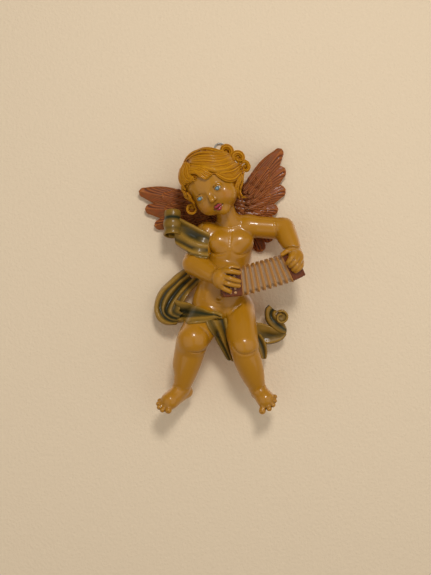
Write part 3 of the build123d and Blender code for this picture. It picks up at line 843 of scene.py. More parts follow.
def gathered(name, parts):  # one piece from (points, faces, marks) parts
    points, faces, marks, first = [], [], {}, 0
    for spots, ring, values in parts:
        points.append(spots)
        faces += [[first + corner for corner in face] for face in ring]
        for key, value in values.items():
            marks.setdefault(key, []).append(value)
        first += len(spots)
    marks = {key: np.concatenate(values) for key, values in marks.items()}
    piece = newPiece(name, np.concatenate(points), faces, None, marks)
    work = bmesh.new()
    work.from_mesh(piece.data)
    bmesh.ops.recalc_face_normals(work, faces=work.faces)
    work.to_mesh(piece.data)
    work.free()
    print(name, len(faces), "faces")
    return piece


def smoothed(rows, reach):  # running mean down the first axis
    padded = np.concatenate((np.repeat(rows[:1], reach, 0), rows, np.repeat(rows[-1:], reach, 0)))
    return sum(padded[i : i + len(rows)] for i in range(2 * reach + 1)) / (2 * reach + 1)


def restingOn(front, limb, gap):  # pushed forwards until it clears the limb and the torso
    spots = front.reshape(-1, 3).copy()
    start = spots[:, 1].copy()
    for _ in range(8):
        short = gap - np.minimum(limbCore(spots, limb), torsoCore(spots))
        spots[:, 1] -= np.clip(short, 0, 4)
    push = (start - spots[:, 1]).reshape(front.shape[:2])
    even = smoothed(smoothed(push, 3).T, 4).T
    front = front.copy()
    front[..., 1] -= np.maximum(push, even)
    return front


clothStyle = {  # rounded ends, fold shading, and what the hem and the back get of it
    "softEnd": 0.04,
    "hollow": 1.6,
    "ridge": 2.4,
    "hem": -0.25,
    "shadedBack": 0.15,
    "hemTurns": (30, 75, 120, 160),
}


def drape(curves, thickness=1.6, along=80, across=6, over=None):  # cloth through ridge and valley curves
    tracks = np.stack([resampled([at(*spot) for spot in points], along) for points, _ in curves])
    front = smoothLine(tracks.reshape(len(curves), -1), across).reshape(-1, along, 3)
    ends = np.linspace(0, 1, along)
    paints = [np.interp(ends, np.linspace(0, 1, np.size(paint)), np.atleast_1d(paint)) for _, paint in curves]
    places = np.arange(len(front)) / across
    columns = np.arange(len(curves))
    shade = np.stack([np.interp(places, columns, paint) for paint in np.transpose(paints)], 1)
    if over:
        front = restingOn(front, over, thickness * 0.7)
    normal = rowsOf(np.cross(np.gradient(front, axis=0), np.gradient(front, axis=1)))
    if normal[..., 1].mean() > 0:
        normal = -normal
    rounding = np.ones(along)
    for place in (ends, 1 - ends):
        rounding *= np.sqrt(np.clip(1 - (1 - np.clip(place / clothStyle["softEnd"], 0, 1)) ** 2, 0.04, 1))
    thick = (thickness * rounding)[None, :, None]
    back = front - normal * thick
    loop = [front]
    depth = [np.einsum("ijk,ijk->ij", smoothed(front, 2 * across // 3 + 2) - front, normal)]
    tints = [shade]
    for index, inner, turns in ((-1, -2, clothStyle["hemTurns"]), (0, 1, clothStyle["hemTurns"][::-1])):
        outward = rowsOf(front[index] - front[inner])
        for turn in np.radians(turns):
            middle = (front[index] + back[index]) / 2
            bulge = thick[0] / 2 * (math.cos(turn) * normal[index] + math.sin(turn) * outward)
            loop.append((middle + bulge)[None])
            depth.append(np.full((1, along), clothStyle["hem"]))
            tints.append(shade[index][None])
        if index == -1:
            loop.append(back[::-1])
            depth.append(np.full(back.shape[:2], clothStyle["shadedBack"]))
            tints.append(shade[::-1])
    points, depth, tints = np.concatenate(loop), np.concatenate(depth), np.concatenate(tints)
    # painted shade in the fold valleys and over the back, painted highlight on the fold ridges and the hem,
    # partly dry brush
    marks = {
        "washAndShade": np.clip(depth * clothStyle["hollow"], 0, 1).ravel(),
        "rim": np.clip(-depth * clothStyle["ridge"], 0, 1).ravel(),
        "mark": tints.ravel(),
    }
    return points.reshape(-1, 3), tubeFaces(len(points), along), marks


lockStyle = {"groove": 0.13, "tips": 0.1}  # depth of the combing and length of the rounded ends


def lock(points, widths, height, outward, count=26, sides=24, ridges=3):  # a combed strand of hair
    line = resampled(points, count)
    tangent = rowsOf(np.gradient(line, axis=0))
    up = outward(line)
    up = rowsOf(up - tangent * np.einsum("ij,ij->i", up, tangent)[:, None])
    side = np.cross(tangent, up)
    width = np.interp(np.linspace(0, 1, count), np.linspace(0, 1, len(widths)), widths)
    ends = np.linspace(0, 1, count)
    nearEnd = np.clip(np.minimum(ends, 1 - ends) / lockStyle["tips"], 0, 1)
    width = width * np.sqrt(np.clip(1 - (1 - nearEnd) ** 2, 0.03, 1))
    turn = np.linspace(0, 2 * math.pi, sides, endpoint=False)
    ripple = 1 + lockStyle["groove"] * np.cos(2 * ridges * (turn - math.pi / 2))
    across = (np.cos(turn) * ripple)[:, None, None] * (width[:, None] * side)[None]
    rise = (np.sin(turn) * ripple * height)[:, None, None] * (width[:, None] * up)[None]
    loop = line[None] + across + rise
    # painted shade: the combing grooves and the side of each lock that faces the head are darker; painted
    # highlight: the ridges on the outer side are lighter
    low = np.clip(0.6 - np.sin(turn), 0, 1) * 0.8
    marks = {
        "washAndShade": np.repeat(np.clip((1 - ripple) * 5 + low, 0, 1), count),
        "rim": np.repeat(np.clip((ripple - 1) * 6, 0, 1) * (np.sin(turn) > 0.2), count),
        "mark": np.zeros(sides * count),
    }
    return loop.reshape(-1, 3), tubeFaces(sides, count), marks


# head and eyes
face = {
    "eye": {1: np.array((7.5, -15.2, -2.6)), -1: np.array((-7.9, -15.1, -1.5))},
    "eyeRadius": 3.0,
    "eyeMesh": (32, 61),
    "irisRim": (34, 5, 0.08),  # degrees from the gaze, half width in degrees and height
    "blush": ((9.6, -16.4, -9.6), 6.0, 0.16),  # place, reach and strength
    "nose": ((0, -17.2, 0.6), (0, -18.9, -3.4), (0, -20.4, -7.0)),
    "upperLip": (
        (-3.6, -16.7, -13.8),
        (-1.8, -18.5, -12.9),
        (-0.6, -18.8, -13.2),
        (0.6, -18.5, -12.9),
        (2.4, -16.9, -13.7),
    ),
    "lowerLip": ((-2.8, -16.8, -14.7), (-0.6, -18.1, -15.2), (1.6, -16.9, -14.7)),
    "mouth": (
        (-3.8, -17.2, -14.1),
        (-1.8, -19.4, -14.0),
        (-0.6, -19.6, -14.3),
        (0.6, -19.4, -14.0),
        (2.6, -17.4, -14.1),
    ),
    # pairs: half breadth, shift, forward, up and radius
    "cheek": (7.0, -0.5, -9.8, -9.4, 8.3),
    "nostrilWing": (1.9, 0.0, -18.6, -7.6, 1.3),
    "nostril": (1.05, 0.0, -19.9, -9.0, 0.6),
    "mouthCorner": (3.5, -0.6, -16.9, -14.1, 0.5),
    # measured from each eye: socket and slit with radii, the lid's thickness and the line of its fold
    "socket": ((-0.4, -4.6, 0.2), (4.2, 1.8, 2.6)),
    "slit": ((0.1, -3.2, -0.15), (2.75, 3.0, 1.35)),
    "lid": 0.62,
    "lidFold": ((-3.0, -1.8, 1.6), (0, -2.7, 2.6), (3.2, -1.8, 1.4)),
    # measured from the middle of the head: balls with their radius, and lines
    "skull": ((0, 2, 3), 20.3),
    "jaw": ((-1.0, -3.4, -6), 15.6),
    "chin": ((0, -12.6, -17.2), 5.0),
    "chinFold": ((-4, -19.0, -20.6), (0, -19.8, -21.2), (4, -19.0, -20.6)),
    "philtrum": ((0, -19.4, -10.2), (-0.4, -19.2, -11.8)),
}


def lipField(q):
    f = cord(q, face["upperLip"], (0.35, 0.95, 0.8, 0.95, 0.35))
    return np.minimum(f, cord(q, face["lowerLip"], (0.5, 1.2, 0.5)))


def pairedBall(q, side, form):  # one of two balls, left and right of the face's middle
    half, shift, forward, up, radius = face[form]
    return ball(q, (side * half + shift, forward, up), radius)


def headField(p):
    q = (p - headCentre) @ headAxes
    f = melt(ball(q, *face["skull"]), ball(q, *face["jaw"]), 3.4)
    for side in (-1, 1):
        f = melt(f, pairedBall(q, side, "cheek"), 2.6)
    f = melt(f, ball(q, *face["chin"]), 3.2)
    f = carve(f, cord(q, face["chinFold"], (0.4, 0.5, 0.4)), 1.6)
    for side in (-1, 1):
        eye = face["eye"][side]
        mirror = np.array((side, 1, 1))
        socket, slit = ((eye + mirror * shift, radii) for shift, radii in (face["socket"], face["slit"]))
        f = carve(f, egg(q, *socket), 2.0)
        f = melt(f, ball(q, eye, face["eyeRadius"] + face["lid"]), 0.8)
        f = carve(f, egg(q, *slit), 0.25)
        f = carve(f, ball(q, eye, face["eyeRadius"] + 0.03), 0.1)
        fold = [eye + mirror * spot for spot in face["lidFold"]]
        f = carve(f, cord(q, fold, (0.15, 0.3, 0.15)), 0.5)
    f = melt(f, cord(q, face["nose"], (0.8, 1.2, 1.95)), 1.8)
    for side in (-1, 1):
        f = melt(f, pairedBall(q, side, "nostrilWing"), 0.7)
        f = carve(f, pairedBall(q, side, "nostril"), 0.4)
        f = carve(f, pairedBall(q, side, "mouthCorner"), 0.8)
    f = carve(f, cord(q, face["philtrum"], (0.35, 0.45)), 0.6)
    f = melt(f, lipField(q), 0.35)
    return carve(f, cord(q, face["mouth"], (0.12, 0.22, 0.22, 0.22, 0.12)), 0.25)


def headMarks(points):
    q = (points - headCentre) @ headAxes
    red = np.clip(1 - (lipField(q) - 0.05) / 0.3, 0, 1)
    place, reach, strength = face["blush"]
    for side in (-1, 1):
        away = size(q - np.array((side, 1, 1)) * place)
        red = np.maximum(red, strength * np.clip(1 - away / reach, 0, 1))
    return {"mark": red}


headSkin = sculpt("headSkin", headField, "head", 0.5, extra=headMarks)
fit(headSkin, paints["skin"], "skin", "figure", "head")


def eyeball(side):  # lathed about the gaze, with the iris set into the white
    middle = face["eye"][side]
    around, along = face["eyeMesh"]
    rimAngle, rimHalf, rimHeight = face["irisRim"]
    turn = np.linspace(0, 2 * math.pi, around + 1)[:-1]
    angles = np.radians(np.linspace(0.5, 179.5, along))
    rim = rimHeight * np.exp(-((np.degrees(angles) - rimAngle) / rimHalf) ** 2)
    radius = face["eyeRadius"] + rim
    ring = radius * np.sin(angles)
    forward = -(radius * np.cos(angles))[None].repeat(around, 0)
    spots = np.stack((np.cos(turn)[:, None] * ring, forward, np.sin(turn)[:, None] * ring), -1)
    gaze = np.repeat(np.degrees(angles)[None], around, 0).ravel() / 100
    places = headCentre + (spots.reshape(-1, 3) + middle) @ headAxes.T
    blank = np.zeros(len(places))
    return places, tubeFaces(around, along), {"gaze": gaze, "washAndShade": blank, "rim": blank, "mark": blank}


fit(gathered("eyeballs", [eyeball(-1), eyeball(1)]), paints["eyes"], "eyes", "figure", "eyes")
print("head and eyes done")


# hair, combed over a ball
hairStyle = {
    "centre": at(-6.85, 26.54, -29.93),
    "base": 21.7,
    "strand": 22.2,
    # along each lock its half widths, then from lock to lock their breadths and lifts
    "crownWidths": (0.6, 1.5, 1.7, 1.6, 1.0),
    "crownBreadths": (1.3, 0.85, 1.1, 0.75),
    "crownLifts": (-0.5, 0.1, -0.7, -0.1),
    "sideWidths": (1.2, 1.6, 1.4, 0.6),
    "sideBreadths": (1.0, 0.75, 1.1),
    "sideLifts": (0.2, 0.6, 0.35),
    "sideGroups": ((0, 3, 2), (3, 8, 2), (8, 11, 1), (11, 14, 2)),  # first and last guide, locks to a guide
    "combed": unit(np.array((0.1, -0.3, 1.0))),
    "pitch": 2.3,
    "groove": 0.3,
    "faceMiddle": (-6.8, -46.2),
    "faceHalf": (19.5, 16.5),
}
crownGuides = (
    ((-26.8, -18.6), (-22.1, -12.9), (-15.2, -10.3), (-8, -10), (-1.1, -11.7), (3.3, -13.2), (6.6, -13.4)),
    ((-23.4, -17.7), (-18.5, -16.7), (-12.8, -15.9), (-7.2, -16.1), (-1.6, -16.4), (3.3, -15.2),
     (7.5, -12.2)),
    ((-22.5, -19), (-18, -19.7), (-12.7, -20.1), (-7.1, -20.5), (-1.6, -20.2), (3.7, -18.4), (8.2, -15.1)),
    ((-22.1, -20.4), (-17.5, -22.8), (-12.3, -23.5), (-7.1, -24.1), (-1.6, -23.6), (4, -21.5), (9.4, -17.3)),
    ((-20.4, -22), (-15.9, -24.6), (-11.1, -25.2), (-6.3, -25.7), (-1.2, -26), (4.8, -24.8), (11.5, -19.1)),
    ((-7.1, -24.9), (-4, -26.5), (-0.8, -28), (3.2, -28.2), (7.7, -26.5), (12.3, -22.2), (16.6, -18.2)),
    ((-4.4, -27.3), (-2, -29.7), (0.8, -31.1), (4.8, -32.1), (9.7, -31.1), (13.9, -26.5), (17.4, -21.8)),
)
sideLocks = (
    ((-22, -23.9), (-18.3, -24.8), (-14.3, -25.5), (-11.1, -26.9), (-8.3, -28.5), (-5.5, -30.1)),
    ((-22.4, -26), (-19.1, -26.4), (-15.9, -27.1), (-12.7, -28.8), (-10.3, -30.9), (-7.5, -31.5)),
    ((-22.4, -28), (-19.5, -28), (-16.7, -28.6), (-13.9, -30.4), (-11.5, -32.4), (-9.5, -33.1)),
    ((-21.4, -20.8), (-22.4, -24.6), (-22.2, -28.2), (-20.8, -30.6), (-18.6, -31.2)),
    ((-23.4, -19.7), (-24.7, -24.3), (-24.9, -28.5), (-23.7, -31.9), (-21.6, -33.3), (-19.7, -32.9),
     (-17.9, -33.9)),
    ((-24.7, -18.2), (-26.3, -23), (-26.9, -28), (-26, -32.3), (-24.3, -34.3), (-22.4, -34.8)),
    ((-25.6, -19.4), (-27.6, -24.3), (-28, -29.3), (-26.9, -33.6), (-25.4, -36.6)),
    ((-28.2, -21.8), (-28.9, -27.2), (-28.2, -32.4), (-26.5, -36.7), (-24.6, -39.4)),
    ((-27.6, -35.3), (-26.2, -39.4), (-23.9, -43), (-21.9, -45.8), (-20.7, -47.1)),
    ((-23.8, -40.6), (-22.2, -43.3), (-20.6, -45.7), (-19.1, -47.9), (-18, -49.8)),
    ((-25.9, -39.1), (-24.8, -42.2), (-23.2, -44.5), (-21.7, -44.8), (-21.8, -43.4)),
    ((17, -23.4), (16.2, -27.5), (15.4, -32.3), (14.3, -35.6), (14.0, -38.5), (14.6, -40.8), (16.4, -42.9),
     (19.6, -43.3)),
    ((15.3, -27.2), (13.5, -32), (12, -35.4), (11.6, -38.5), (12.4, -41.1), (13.4, -42.9), (14, -44.9)),
    ((13, -30.5), (11.8, -33.9), (11, -36.4), (11, -39.3), (11.6, -42)),
)
ringlets = (  # spirals over the crown and the ring curl by the neck, with their depth and radius
    (
        ((7.5, -12.7), (8.3, -9.4), (6.7, -6.8), (4.2, -6), (2, -7), (1.1, -10.1), (2.5, -12), (4.2, -10),
         (3.8, -8.6)),
        25,
        1.9,
    ),
    (
        ((9.4, -17.8), (9.2, -13), (11.2, -11), (14.1, -11), (16.3, -13.4), (15.9, -16.2), (13.3, -16.6),
         (11.8, -15), (12.4, -13)),
        26,
        1.9,
    ),
    (
        ((15.3, -18.6), (17.4, -17), (19.8, -18.3), (20.9, -21.1), (19.5, -23.5), (17, -23), (16.6, -21.4),
         (17.8, -20.6)),
        26,
        1.35,
    ),
    (
        ((-20.0, -48.4), (-23.0, -49.4), (-23.9, -52.0), (-22.6, -54.4), (-19.8, -54.9), (-17.7, -53.0),
         (-17.9, -50.2), (-20.2, -48.7)),
        27,
        0.85,
    ),
)
ringFillings = (  # what lies inside the spirals: place, depth and radius
    ((5.2, -8.6), 24.4, 2.6),
    ((12.8, -14.0), 25.4, 2.6),
    ((18.2, -20.6), 25.4, 1.9),
    ((-20.6, -51.7), 25.4, 2.9),
)


def overHead(spot, radius):  # a point of the front seen at (x, z), put on the ball
    x, z = spot
    centre = hairStyle["centre"]
    rise = math.sqrt(max(radius**2 - (x - centre[0]) ** 2 - (z - centre[2]) ** 2, 4.0))
    return np.array((x, centre[1] - rise, z))


def fromHead(line):
    return line - hairStyle["centre"]


def towardsFront(line):
    return np.tile((0.0, -1.0, 0.0), (len(line), 1))


def upwards(line):
    return np.tile((0.0, 0.0, 1.0), (len(line), 1))


def secondPaint(points):
    return {"mark": np.ones(len(points))}


def hairBase(p):
    q = p - hairStyle["centre"]
    level = q @ hairStyle["combed"]
    turn = np.arctan2(q[:, 1], q[:, 0])
    wave = level + 0.8 * np.sin(3 * turn) + 0.35 * np.sin(7 * turn + 1)
    reach = size(q)
    groove = hairStyle["groove"] * np.cos(2 * math.pi * wave / hairStyle["pitch"])
    f = reach - hairStyle["base"] + groove * np.clip(reach / 12, 0, 1)
    flat = (p[:, (0, 2)] - hairStyle["faceMiddle"]) / hairStyle["faceHalf"]
    opening = np.maximum((size(flat) - 1) * 15, p[:, 1] + 24)
    f = carve(f, opening, 0.8)
    nape = (p - headCentre) @ headAxes[:, 2] + 13
    f = keep(f, -nape, 1.6)
    return np.maximum(f, p[:, 1] + 2.4)


def combed(guides, parts, waviness):  # locks between the guides, waved and of uneven width
    tracks = np.stack([resampled([(x, 0, z) for x, z in guide], 14) for guide in guides])
    between = smoothLine(tracks.reshape(len(guides), -1), parts).reshape(-1, 14, 3)
    share = np.linspace(0, 1, 14)
    found = []
    for i, track in enumerate(between):
        sideways = rowsOf(np.gradient(track, axis=0))[:, (2, 1, 0)] * (1, 1, -1)
        wave = waviness * np.sin(2 * math.pi * 1.6 * share + 1.9 * i) * np.sin(math.pi * share)
        found.append((track + sideways * wave[:, None])[:, (0, 2)])
    return found


def hairParts():
    parts = []
    for i, guide in enumerate(combed(crownGuides, 2, 0.35)):
        radius = hairStyle["strand"] + hairStyle["crownLifts"][i % 4]
        widths = np.array(hairStyle["crownWidths"]) * hairStyle["crownBreadths"][i % 4]
        parts.append(lock([overHead(s, radius) for s in guide], widths, 0.75, fromHead, ridges=3 + i % 2))
    for first, last, parted in hairStyle["sideGroups"]:
        for i, guide in enumerate(combed(sideLocks[first:last], parted, 0.22)):
            radius = hairStyle["strand"] + hairStyle["sideLifts"][i % 3]
            widths = np.array(hairStyle["sideWidths"]) * hairStyle["sideBreadths"][i % 3]
            parts.append(lock([overHead(s, radius) for s in guide], widths, 0.8, fromHead))
    for guide, depth, radius in ringlets:
        path = [at(x, depth - 0.9 * (i / len(guide)), z) for i, (x, z) in enumerate(guide)]
        parts.append(lock(path, (radius, radius, 0.6 * radius), 1.0, towardsFront, count=44))
    for (x, z), depth, radius in ringFillings:
        spots = [at(x, depth - 1.2, z), at(x, depth + 0.6, z)]
        parts.append(lock(spots, (radius, radius, 0.5), 1.0, upwards, 12))
    return parts


combedBase = sculpt("hairBase", hairBase, "hair", 0.6, spare=0.5, extra=secondPaint)
fit(combedBase, paints["hair"], "hair", "figure", "hair")
fit(gathered("hairLocks", hairParts()), paints["hair"], "hair", "figure", "hair")
print("hair combed")


# wings
feathers = {  # root, tip, radius at the root and at the tip, in mm on the wall's plane
    "left": (
        ((25.5, -33.0), (44.2, -7.6), 8.4, 3.8),
        ((25.0, -38.0), (45.0, -22.0), 8.0, 4.9),
        ((24.3, -43.9), (44.8, -36.2), 7.6, 4.9),
        ((22.9, -49.6), (39.3, -49.8), 7.2, 4.6),
        ((22.9, -54.0), (40.0, -60.4), 6.6, 4.2),
        ((22.9, -56.2), (36.0, -70.2), 6.2, 4.6),
        ((20.1, -58.1), (30.0, -77.2), 5.9, 4.7),
    ),
    "right": (
        ((-26.0, -43.4), (-57.6, -37.0), 8.2, 3.7),
        ((-26.0, -50.6), (-52.6, -49.6), 7.4, 4.0),
        ((-26.0, -54.6), (-45.8, -61.2), 6.6, 3.9),
        ((-24.4, -57.6), (-40.0, -67.6), 6.0, 3.0),
        ((-21.0, -60.0), (-31.0, -72.4), 5.4, 3.0),
    ),
}
wingRoots = {  # broad plates behind the neck: start, end, radius at the start and at the end
    "left": (((20.0, -34.0), (16.5, -50.0), 7.6, 7.4), ((19.0, -54.0), (9.0, -68.0), 7.8, 6.0)),
    "right": (((-20.0, -46.0), (-7.0, -53.0), 7.4, 7.0), ((-19.0, -54.0), (-5.0, -67.0), 7.8, 6.0)),
}
wingStyle = {
    "back": 1.2,
    "step": 0.7,
    "thickness": 2.0,
    "dome": 1.1,
    "barbs": 1.25,
    "barbHeight": 0.18,
    "shaft": (0.45, 0.5),  # half width and height
    "heel": 0.55,  # how far a feather reaches back behind its root, in root radii
    "covert": 0.45,
    "scaleMesh": (16, 12),
    "scaleRadii": (2.6, 2.2),
    "rootScaleRadii": (2.3, 2.0),
    "scaleRows": ((0.26, 2.1), (0.10, 2.5), (-0.06, 2.8)),  # place along the feather and lift
}


def feather(root, tip, rootRadius, tipRadius, depth, thickness, dome, along=44, across=26):
    root, tip = np.array(root, float), np.array(tip, float)
    run = tip - root
    length = np.linalg.norm(run)
    run = run / length
    side = np.array((-run[1], run[0]))
    reach = length + tipRadius
    heel = wingStyle["heel"] * rootRadius
    places = np.linspace(-heel, reach, along)
    share = np.clip(places / length, 0, 1)
    bulge = 0.24 * rootRadius * np.sin(math.pi * share**1.25)
    half = rootRadius * (1 - share) * 0.92 + tipRadius * share + bulge
    past = np.clip((places - length) / tipRadius, 0, 1)
    half = half * np.sqrt(np.clip(1 - past**2, 0.002, 1))
    before = np.clip(-places / heel, 0, 1)
    half = half * np.sqrt(np.clip(1 - before**2, 0.02, 1))
    v = np.linspace(-1, 1, across)[:, None]
    flat = root + places[None, :, None] * run + (v * half)[..., None] * side
    strip = (v * half) + 0.10 * np.abs(v) * places
    ripple = np.cos(2 * math.pi * strip / wingStyle["barbs"])
    shaftHalf, shaftHeight = wingStyle["shaft"]
    rib = np.exp(-((v * half) / shaftHalf) ** 2) * (1 - 0.6 * share)
    rise = thickness + dome * (1 - v**2) ** 0.75 - dome
    rise = rise + wingStyle["barbHeight"] * ripple * (1 - np.abs(v) ** 6) + shaftHeight * rib
    rise = rise - 0.5 * np.abs(v) ** 12
    front = np.stack((flat[..., 0], -(depth + np.maximum(rise, 0.3)), flat[..., 1]), -1)
    back = np.stack((flat[..., 0], np.full(flat.shape[:2], -depth), flat[..., 1]), -1)
    # painted shade: the barb grooves are darker and the back face is darkened all over; painted highlight,
    # partly dry brush: the barb ridges, the edges and the shaft are lighter
    edge = np.clip(np.abs(v) ** 8 + past**4, 0, 1)
    upper = np.clip(-ripple * 0.7 + 0.1, 0, 1) * (1 - edge)
    brushHighlight = np.clip(ripple * 0.55 + 0.6 * edge + 0.6 * rib, 0, 1)
    lower = np.zeros(front.shape[:2])
    marks = {
        "washAndShade": np.concatenate((upper, lower + 0.5)).ravel(),
        "rim": np.concatenate((brushHighlight, lower)).ravel(),
        "mark": np.concatenate((np.repeat((1 - share)[None], across, 0), lower)).ravel(),
    }
    loop = np.concatenate((front, back[::-1]))
    return loop.reshape(-1, 3), tubeFaces(len(loop), along), marks


def rootParts(plates, outward):  # small scales over the plates, pointing outwards
    parts = []
    for i, (start, end, startRadius, endRadius) in enumerate(plates):
        start, end = np.array(start), np.array(end)
        depth = wingStyle["back"] + 0.2 + 0.2 * i
        parts.append(feather(start, end, startRadius, endRadius, depth, 3.0, 0.8))
        run = unit(end - start)
        across = np.array((-run[1], run[0]))
        rows = int(np.linalg.norm(end - start) / 2.9) + 2
        for row in range(rows):
            share = row / (rows - 1)
            radius = startRadius + (endRadius - startRadius) * share
            for shift in np.arange(-2, 3) + 0.5 * (row % 2) - 0.25:
                middle = start + (end - start) * share + across * shift * radius * 0.42
                tip = middle + np.array(outward) * 3.0
                lift = wingStyle["back"] + 2.6 + 0.25 * (shift * outward[0] % 2)
                scale = (middle, tip, *wingStyle["rootScaleRadii"], lift, 2.0, 0.9)
                parts.append(feather(*scale, *wingStyle["scaleMesh"]))
    return parts


def wingParts(rows):
    parts = []
    front = wingStyle["back"] + (len(rows) - 1) * wingStyle["step"]
    for i, (root, tip, rootRadius, tipRadius) in enumerate(rows):
        depth = front - i * wingStyle["step"]
        thickness = wingStyle["thickness"]
        root, tip = np.array(root), np.array(tip)
        parts.append(feather(root, tip, rootRadius, tipRadius, depth, thickness, wingStyle["dome"]))
        covert = root + (tip - root) * wingStyle["covert"]
        parts.append(feather(root, covert, 0.9 * rootRadius, 1.05 * tipRadius, depth + 1.2, thickness, 1.0))
        for row, (share, lift) in enumerate(wingStyle["scaleRows"]):  # small scales over the shoulder
            for shift in (-1, 0, 1):
                run = unit(tip - root)
                across = np.array((-run[1], run[0])) * shift * rootRadius * 0.58
                start = root + (tip - root) * (share - 0.12) + across + run * (row % 2) * 1.2
                end = start + run * 3.6
                scale = (start, end, *wingStyle["scaleRadii"], depth + lift, thickness * 0.9, 0.9)
                parts.append(feather(*scale, *wingStyle["scaleMesh"]))
    return parts


for side, node in (("left", "wing_left"), ("right", "wing_right")):
    outward = unit(np.array((1.0 if side == "left" else -1.0, -0.35)))
    parts = wingParts(feathers[side]) + rootParts(wingRoots[side], outward)
    wing = gathered("wing" + side.capitalize(), parts)
    fit(wing, paints["wings"], "wings", "figure", node)
print("wings feathered")


# concertina
squeeze = {
    "treble": at(14.2, 37, -104.6),
    "bass": at(47.0, 32.5, -95.2),
    "tilts": (5, 26),
    "turn": 8,
    "pleats": 9,
    "pleat": 2.3,
    "pleatMesh": 12,  # stations along one pleat
    "bellows": (13.4, 21.4),
    "bellowsCorner": 2.2,
    "box": (14.0, 20.0),
    "boxCorner": 1.1,
    "panel": (2.2, 0.7),  # border and depth
    "bead": (1.7, 0.45, 0.28),  # distance from the end, half width and depth
    "widths": (14.0, 10.0),
    "button": ((1.15, -0.3), (1.15, 0.25), (0.95, 0.45), (0.9, 0.8), (0.72, 0.95), (0.4, 0.86), (0.02, 0.82)),
    "buttonGrid": (6, 2),
    "buttonPitch": (2.9, 3.4),
}


def squeezeAxes(tilt):  # along the instrument, out to the front and up
    turn = math.sin(math.radians(squeeze["turn"]))
    c, s = math.cos(math.radians(tilt)), math.sin(math.radians(tilt))
    along = unit(np.array((c, turn, s)))
    out = unit(np.array((turn, -c, 0)))
    return along, out, np.cross(along, out)


def roundedSection(deep, tall, corner, count=16):  # points round a rectangle with rounded corners
    spots = []
    for sx, sy, first in ((1, 1, 0), (-1, 1, 90), (-1, -1, 180), (1, -1, 270)):
        for angle in np.radians(first + np.linspace(0, 90, count)):
            x, y = sx * (deep / 2 - corner), sy * (tall / 2 - corner)
            spots.append((x + corner * math.cos(angle), y + corner * math.sin(angle)))
    return np.array(spots)


def bellowsPart():
    stations = squeeze["pleatMesh"] * squeeze["pleats"] + 1
    loop, washAndShade, ridge = [], [], []
    for i in range(stations):
        share = i / (stations - 1)
        wave = abs(math.sin(math.pi * squeeze["pleats"] * share)) ** 1.5
        inset = squeeze["pleat"] * wave
        left, right = squeeze["tilts"]
        _, out, up = squeezeAxes(left + share * (right - left))
        middle = squeeze["treble"] + (squeeze["bass"] - squeeze["treble"]) * share
        deep, tall = squeeze["bellows"]
        section = roundedSection(deep - 2 * inset, tall - 2 * inset, squeeze["bellowsCorner"])
        loop.append(middle + section[:, :1] * out + section[:, 1:] * up)
        # painted shade darkens the deepest pleat valleys; the tan paint on the ridges is the bellows' own,
        # and the brush on the ridges is partly painted highlight
        washAndShade.append(np.full(len(section), max(wave - 0.75, 0) * 2))
        ridge.append(np.full(len(section), min(max(1.4 - 1.7 * wave, 0), 1)))
    loop = np.stack(loop, 1)
    ridge = np.stack(ridge, 1).ravel()
    marks = {"washAndShade": np.stack(washAndShade, 1).ravel(), "rim": ridge * 0.8, "mark": np.clip(ridge * 1.6, 0, 1)}
    return loop.reshape(-1, 3), tubeFaces(len(loop), stations), marks


def boxField(middle, tilt, width):  # a box with a beaded rim and a sunk panel on its outer end
    along, out, up = squeezeAxes(tilt)
    axes = np.stack((out, up, along), 1)
    half = np.array((squeeze["box"][0] / 2, squeeze["box"][1] / 2, abs(width) / 2))
    centre = middle + along * width / 2
    corner = squeeze["boxCorner"]
    border, sunk = squeeze["panel"]
    beadPlace, beadHalf, beadDepth = squeeze["bead"]

    def field(p):
        local = (p - centre) @ axes
        q = np.abs(local) - half + corner
        f = size(np.maximum(q, 0)) + np.minimum(q.max(1), 0) - corner
        end = local[:, 2] * (1 if width > 0 else -1) - half[2]
        panel = (np.abs(local[:, :2]) - half[:2] + border).max(1)
        f = carve(f, np.maximum(panel, -end - sunk), 0.4)
        ring = np.abs(np.abs(local[:, 2]) - half[2] + beadPlace)
        return f + beadDepth * np.clip(1 - ring / beadHalf, 0, 1)

    return field


fit(gathered("bellowsFolds", [bellowsPart()]), paints["bellows"], "bellows", "figure", "bellows")
trebleField = boxField(squeeze["treble"], squeeze["tilts"][0], -squeeze["widths"][0])
bassField = boxField(squeeze["bass"], squeeze["tilts"][1], squeeze["widths"][1])
for name, field, node in (("trebleBox", trebleField, "treble_box"), ("bassBox", bassField, "bass_box")):
    fit(sculpt(name, field, node, 0.5), paints["box"], "box", "figure", node)


def buttonPart(row, column):  # a turned button with a dished top
    along, out, up = squeezeAxes(squeeze["tilts"][0])
    centre = squeeze["treble"] - along * squeeze["widths"][0] / 2 + out * squeeze["box"][0] / 2
    tall, wide = squeeze["buttonPitch"]
    centre = centre + along * (column - 0.5) * wide + up * (row - 2.5) * tall
    profile = np.array(squeeze["button"])
    turn = np.linspace(0, 2 * math.pi, 21)[:-1]
    ring = np.cos(turn)[:, None, None] * along + np.sin(turn)[:, None, None] * up
    spots = centre + ring * profile[None, :, :1] + out * profile[None, :, 1:]
    # the red rim is the buttons' own paint; the wash darkening the sides is painted shade
    rim = np.tile((1, 1, 0.6, 0.2, 0, 0, 0), (20, 1)).ravel()
    return spots.reshape(-1, 3), tubeFaces(20, len(profile)), {"mark": rim, "washAndShade": rim * 0.4, "rim": 1 - rim}


rows, columns = squeeze["buttonGrid"]
buttons = [buttonPart(row, column) for row in range(rows) for column in range(columns)]
fit(gathered("buttons", buttons), paints["buttons"], "buttons", "figure", "treble_buttons")
print("concertina folded")


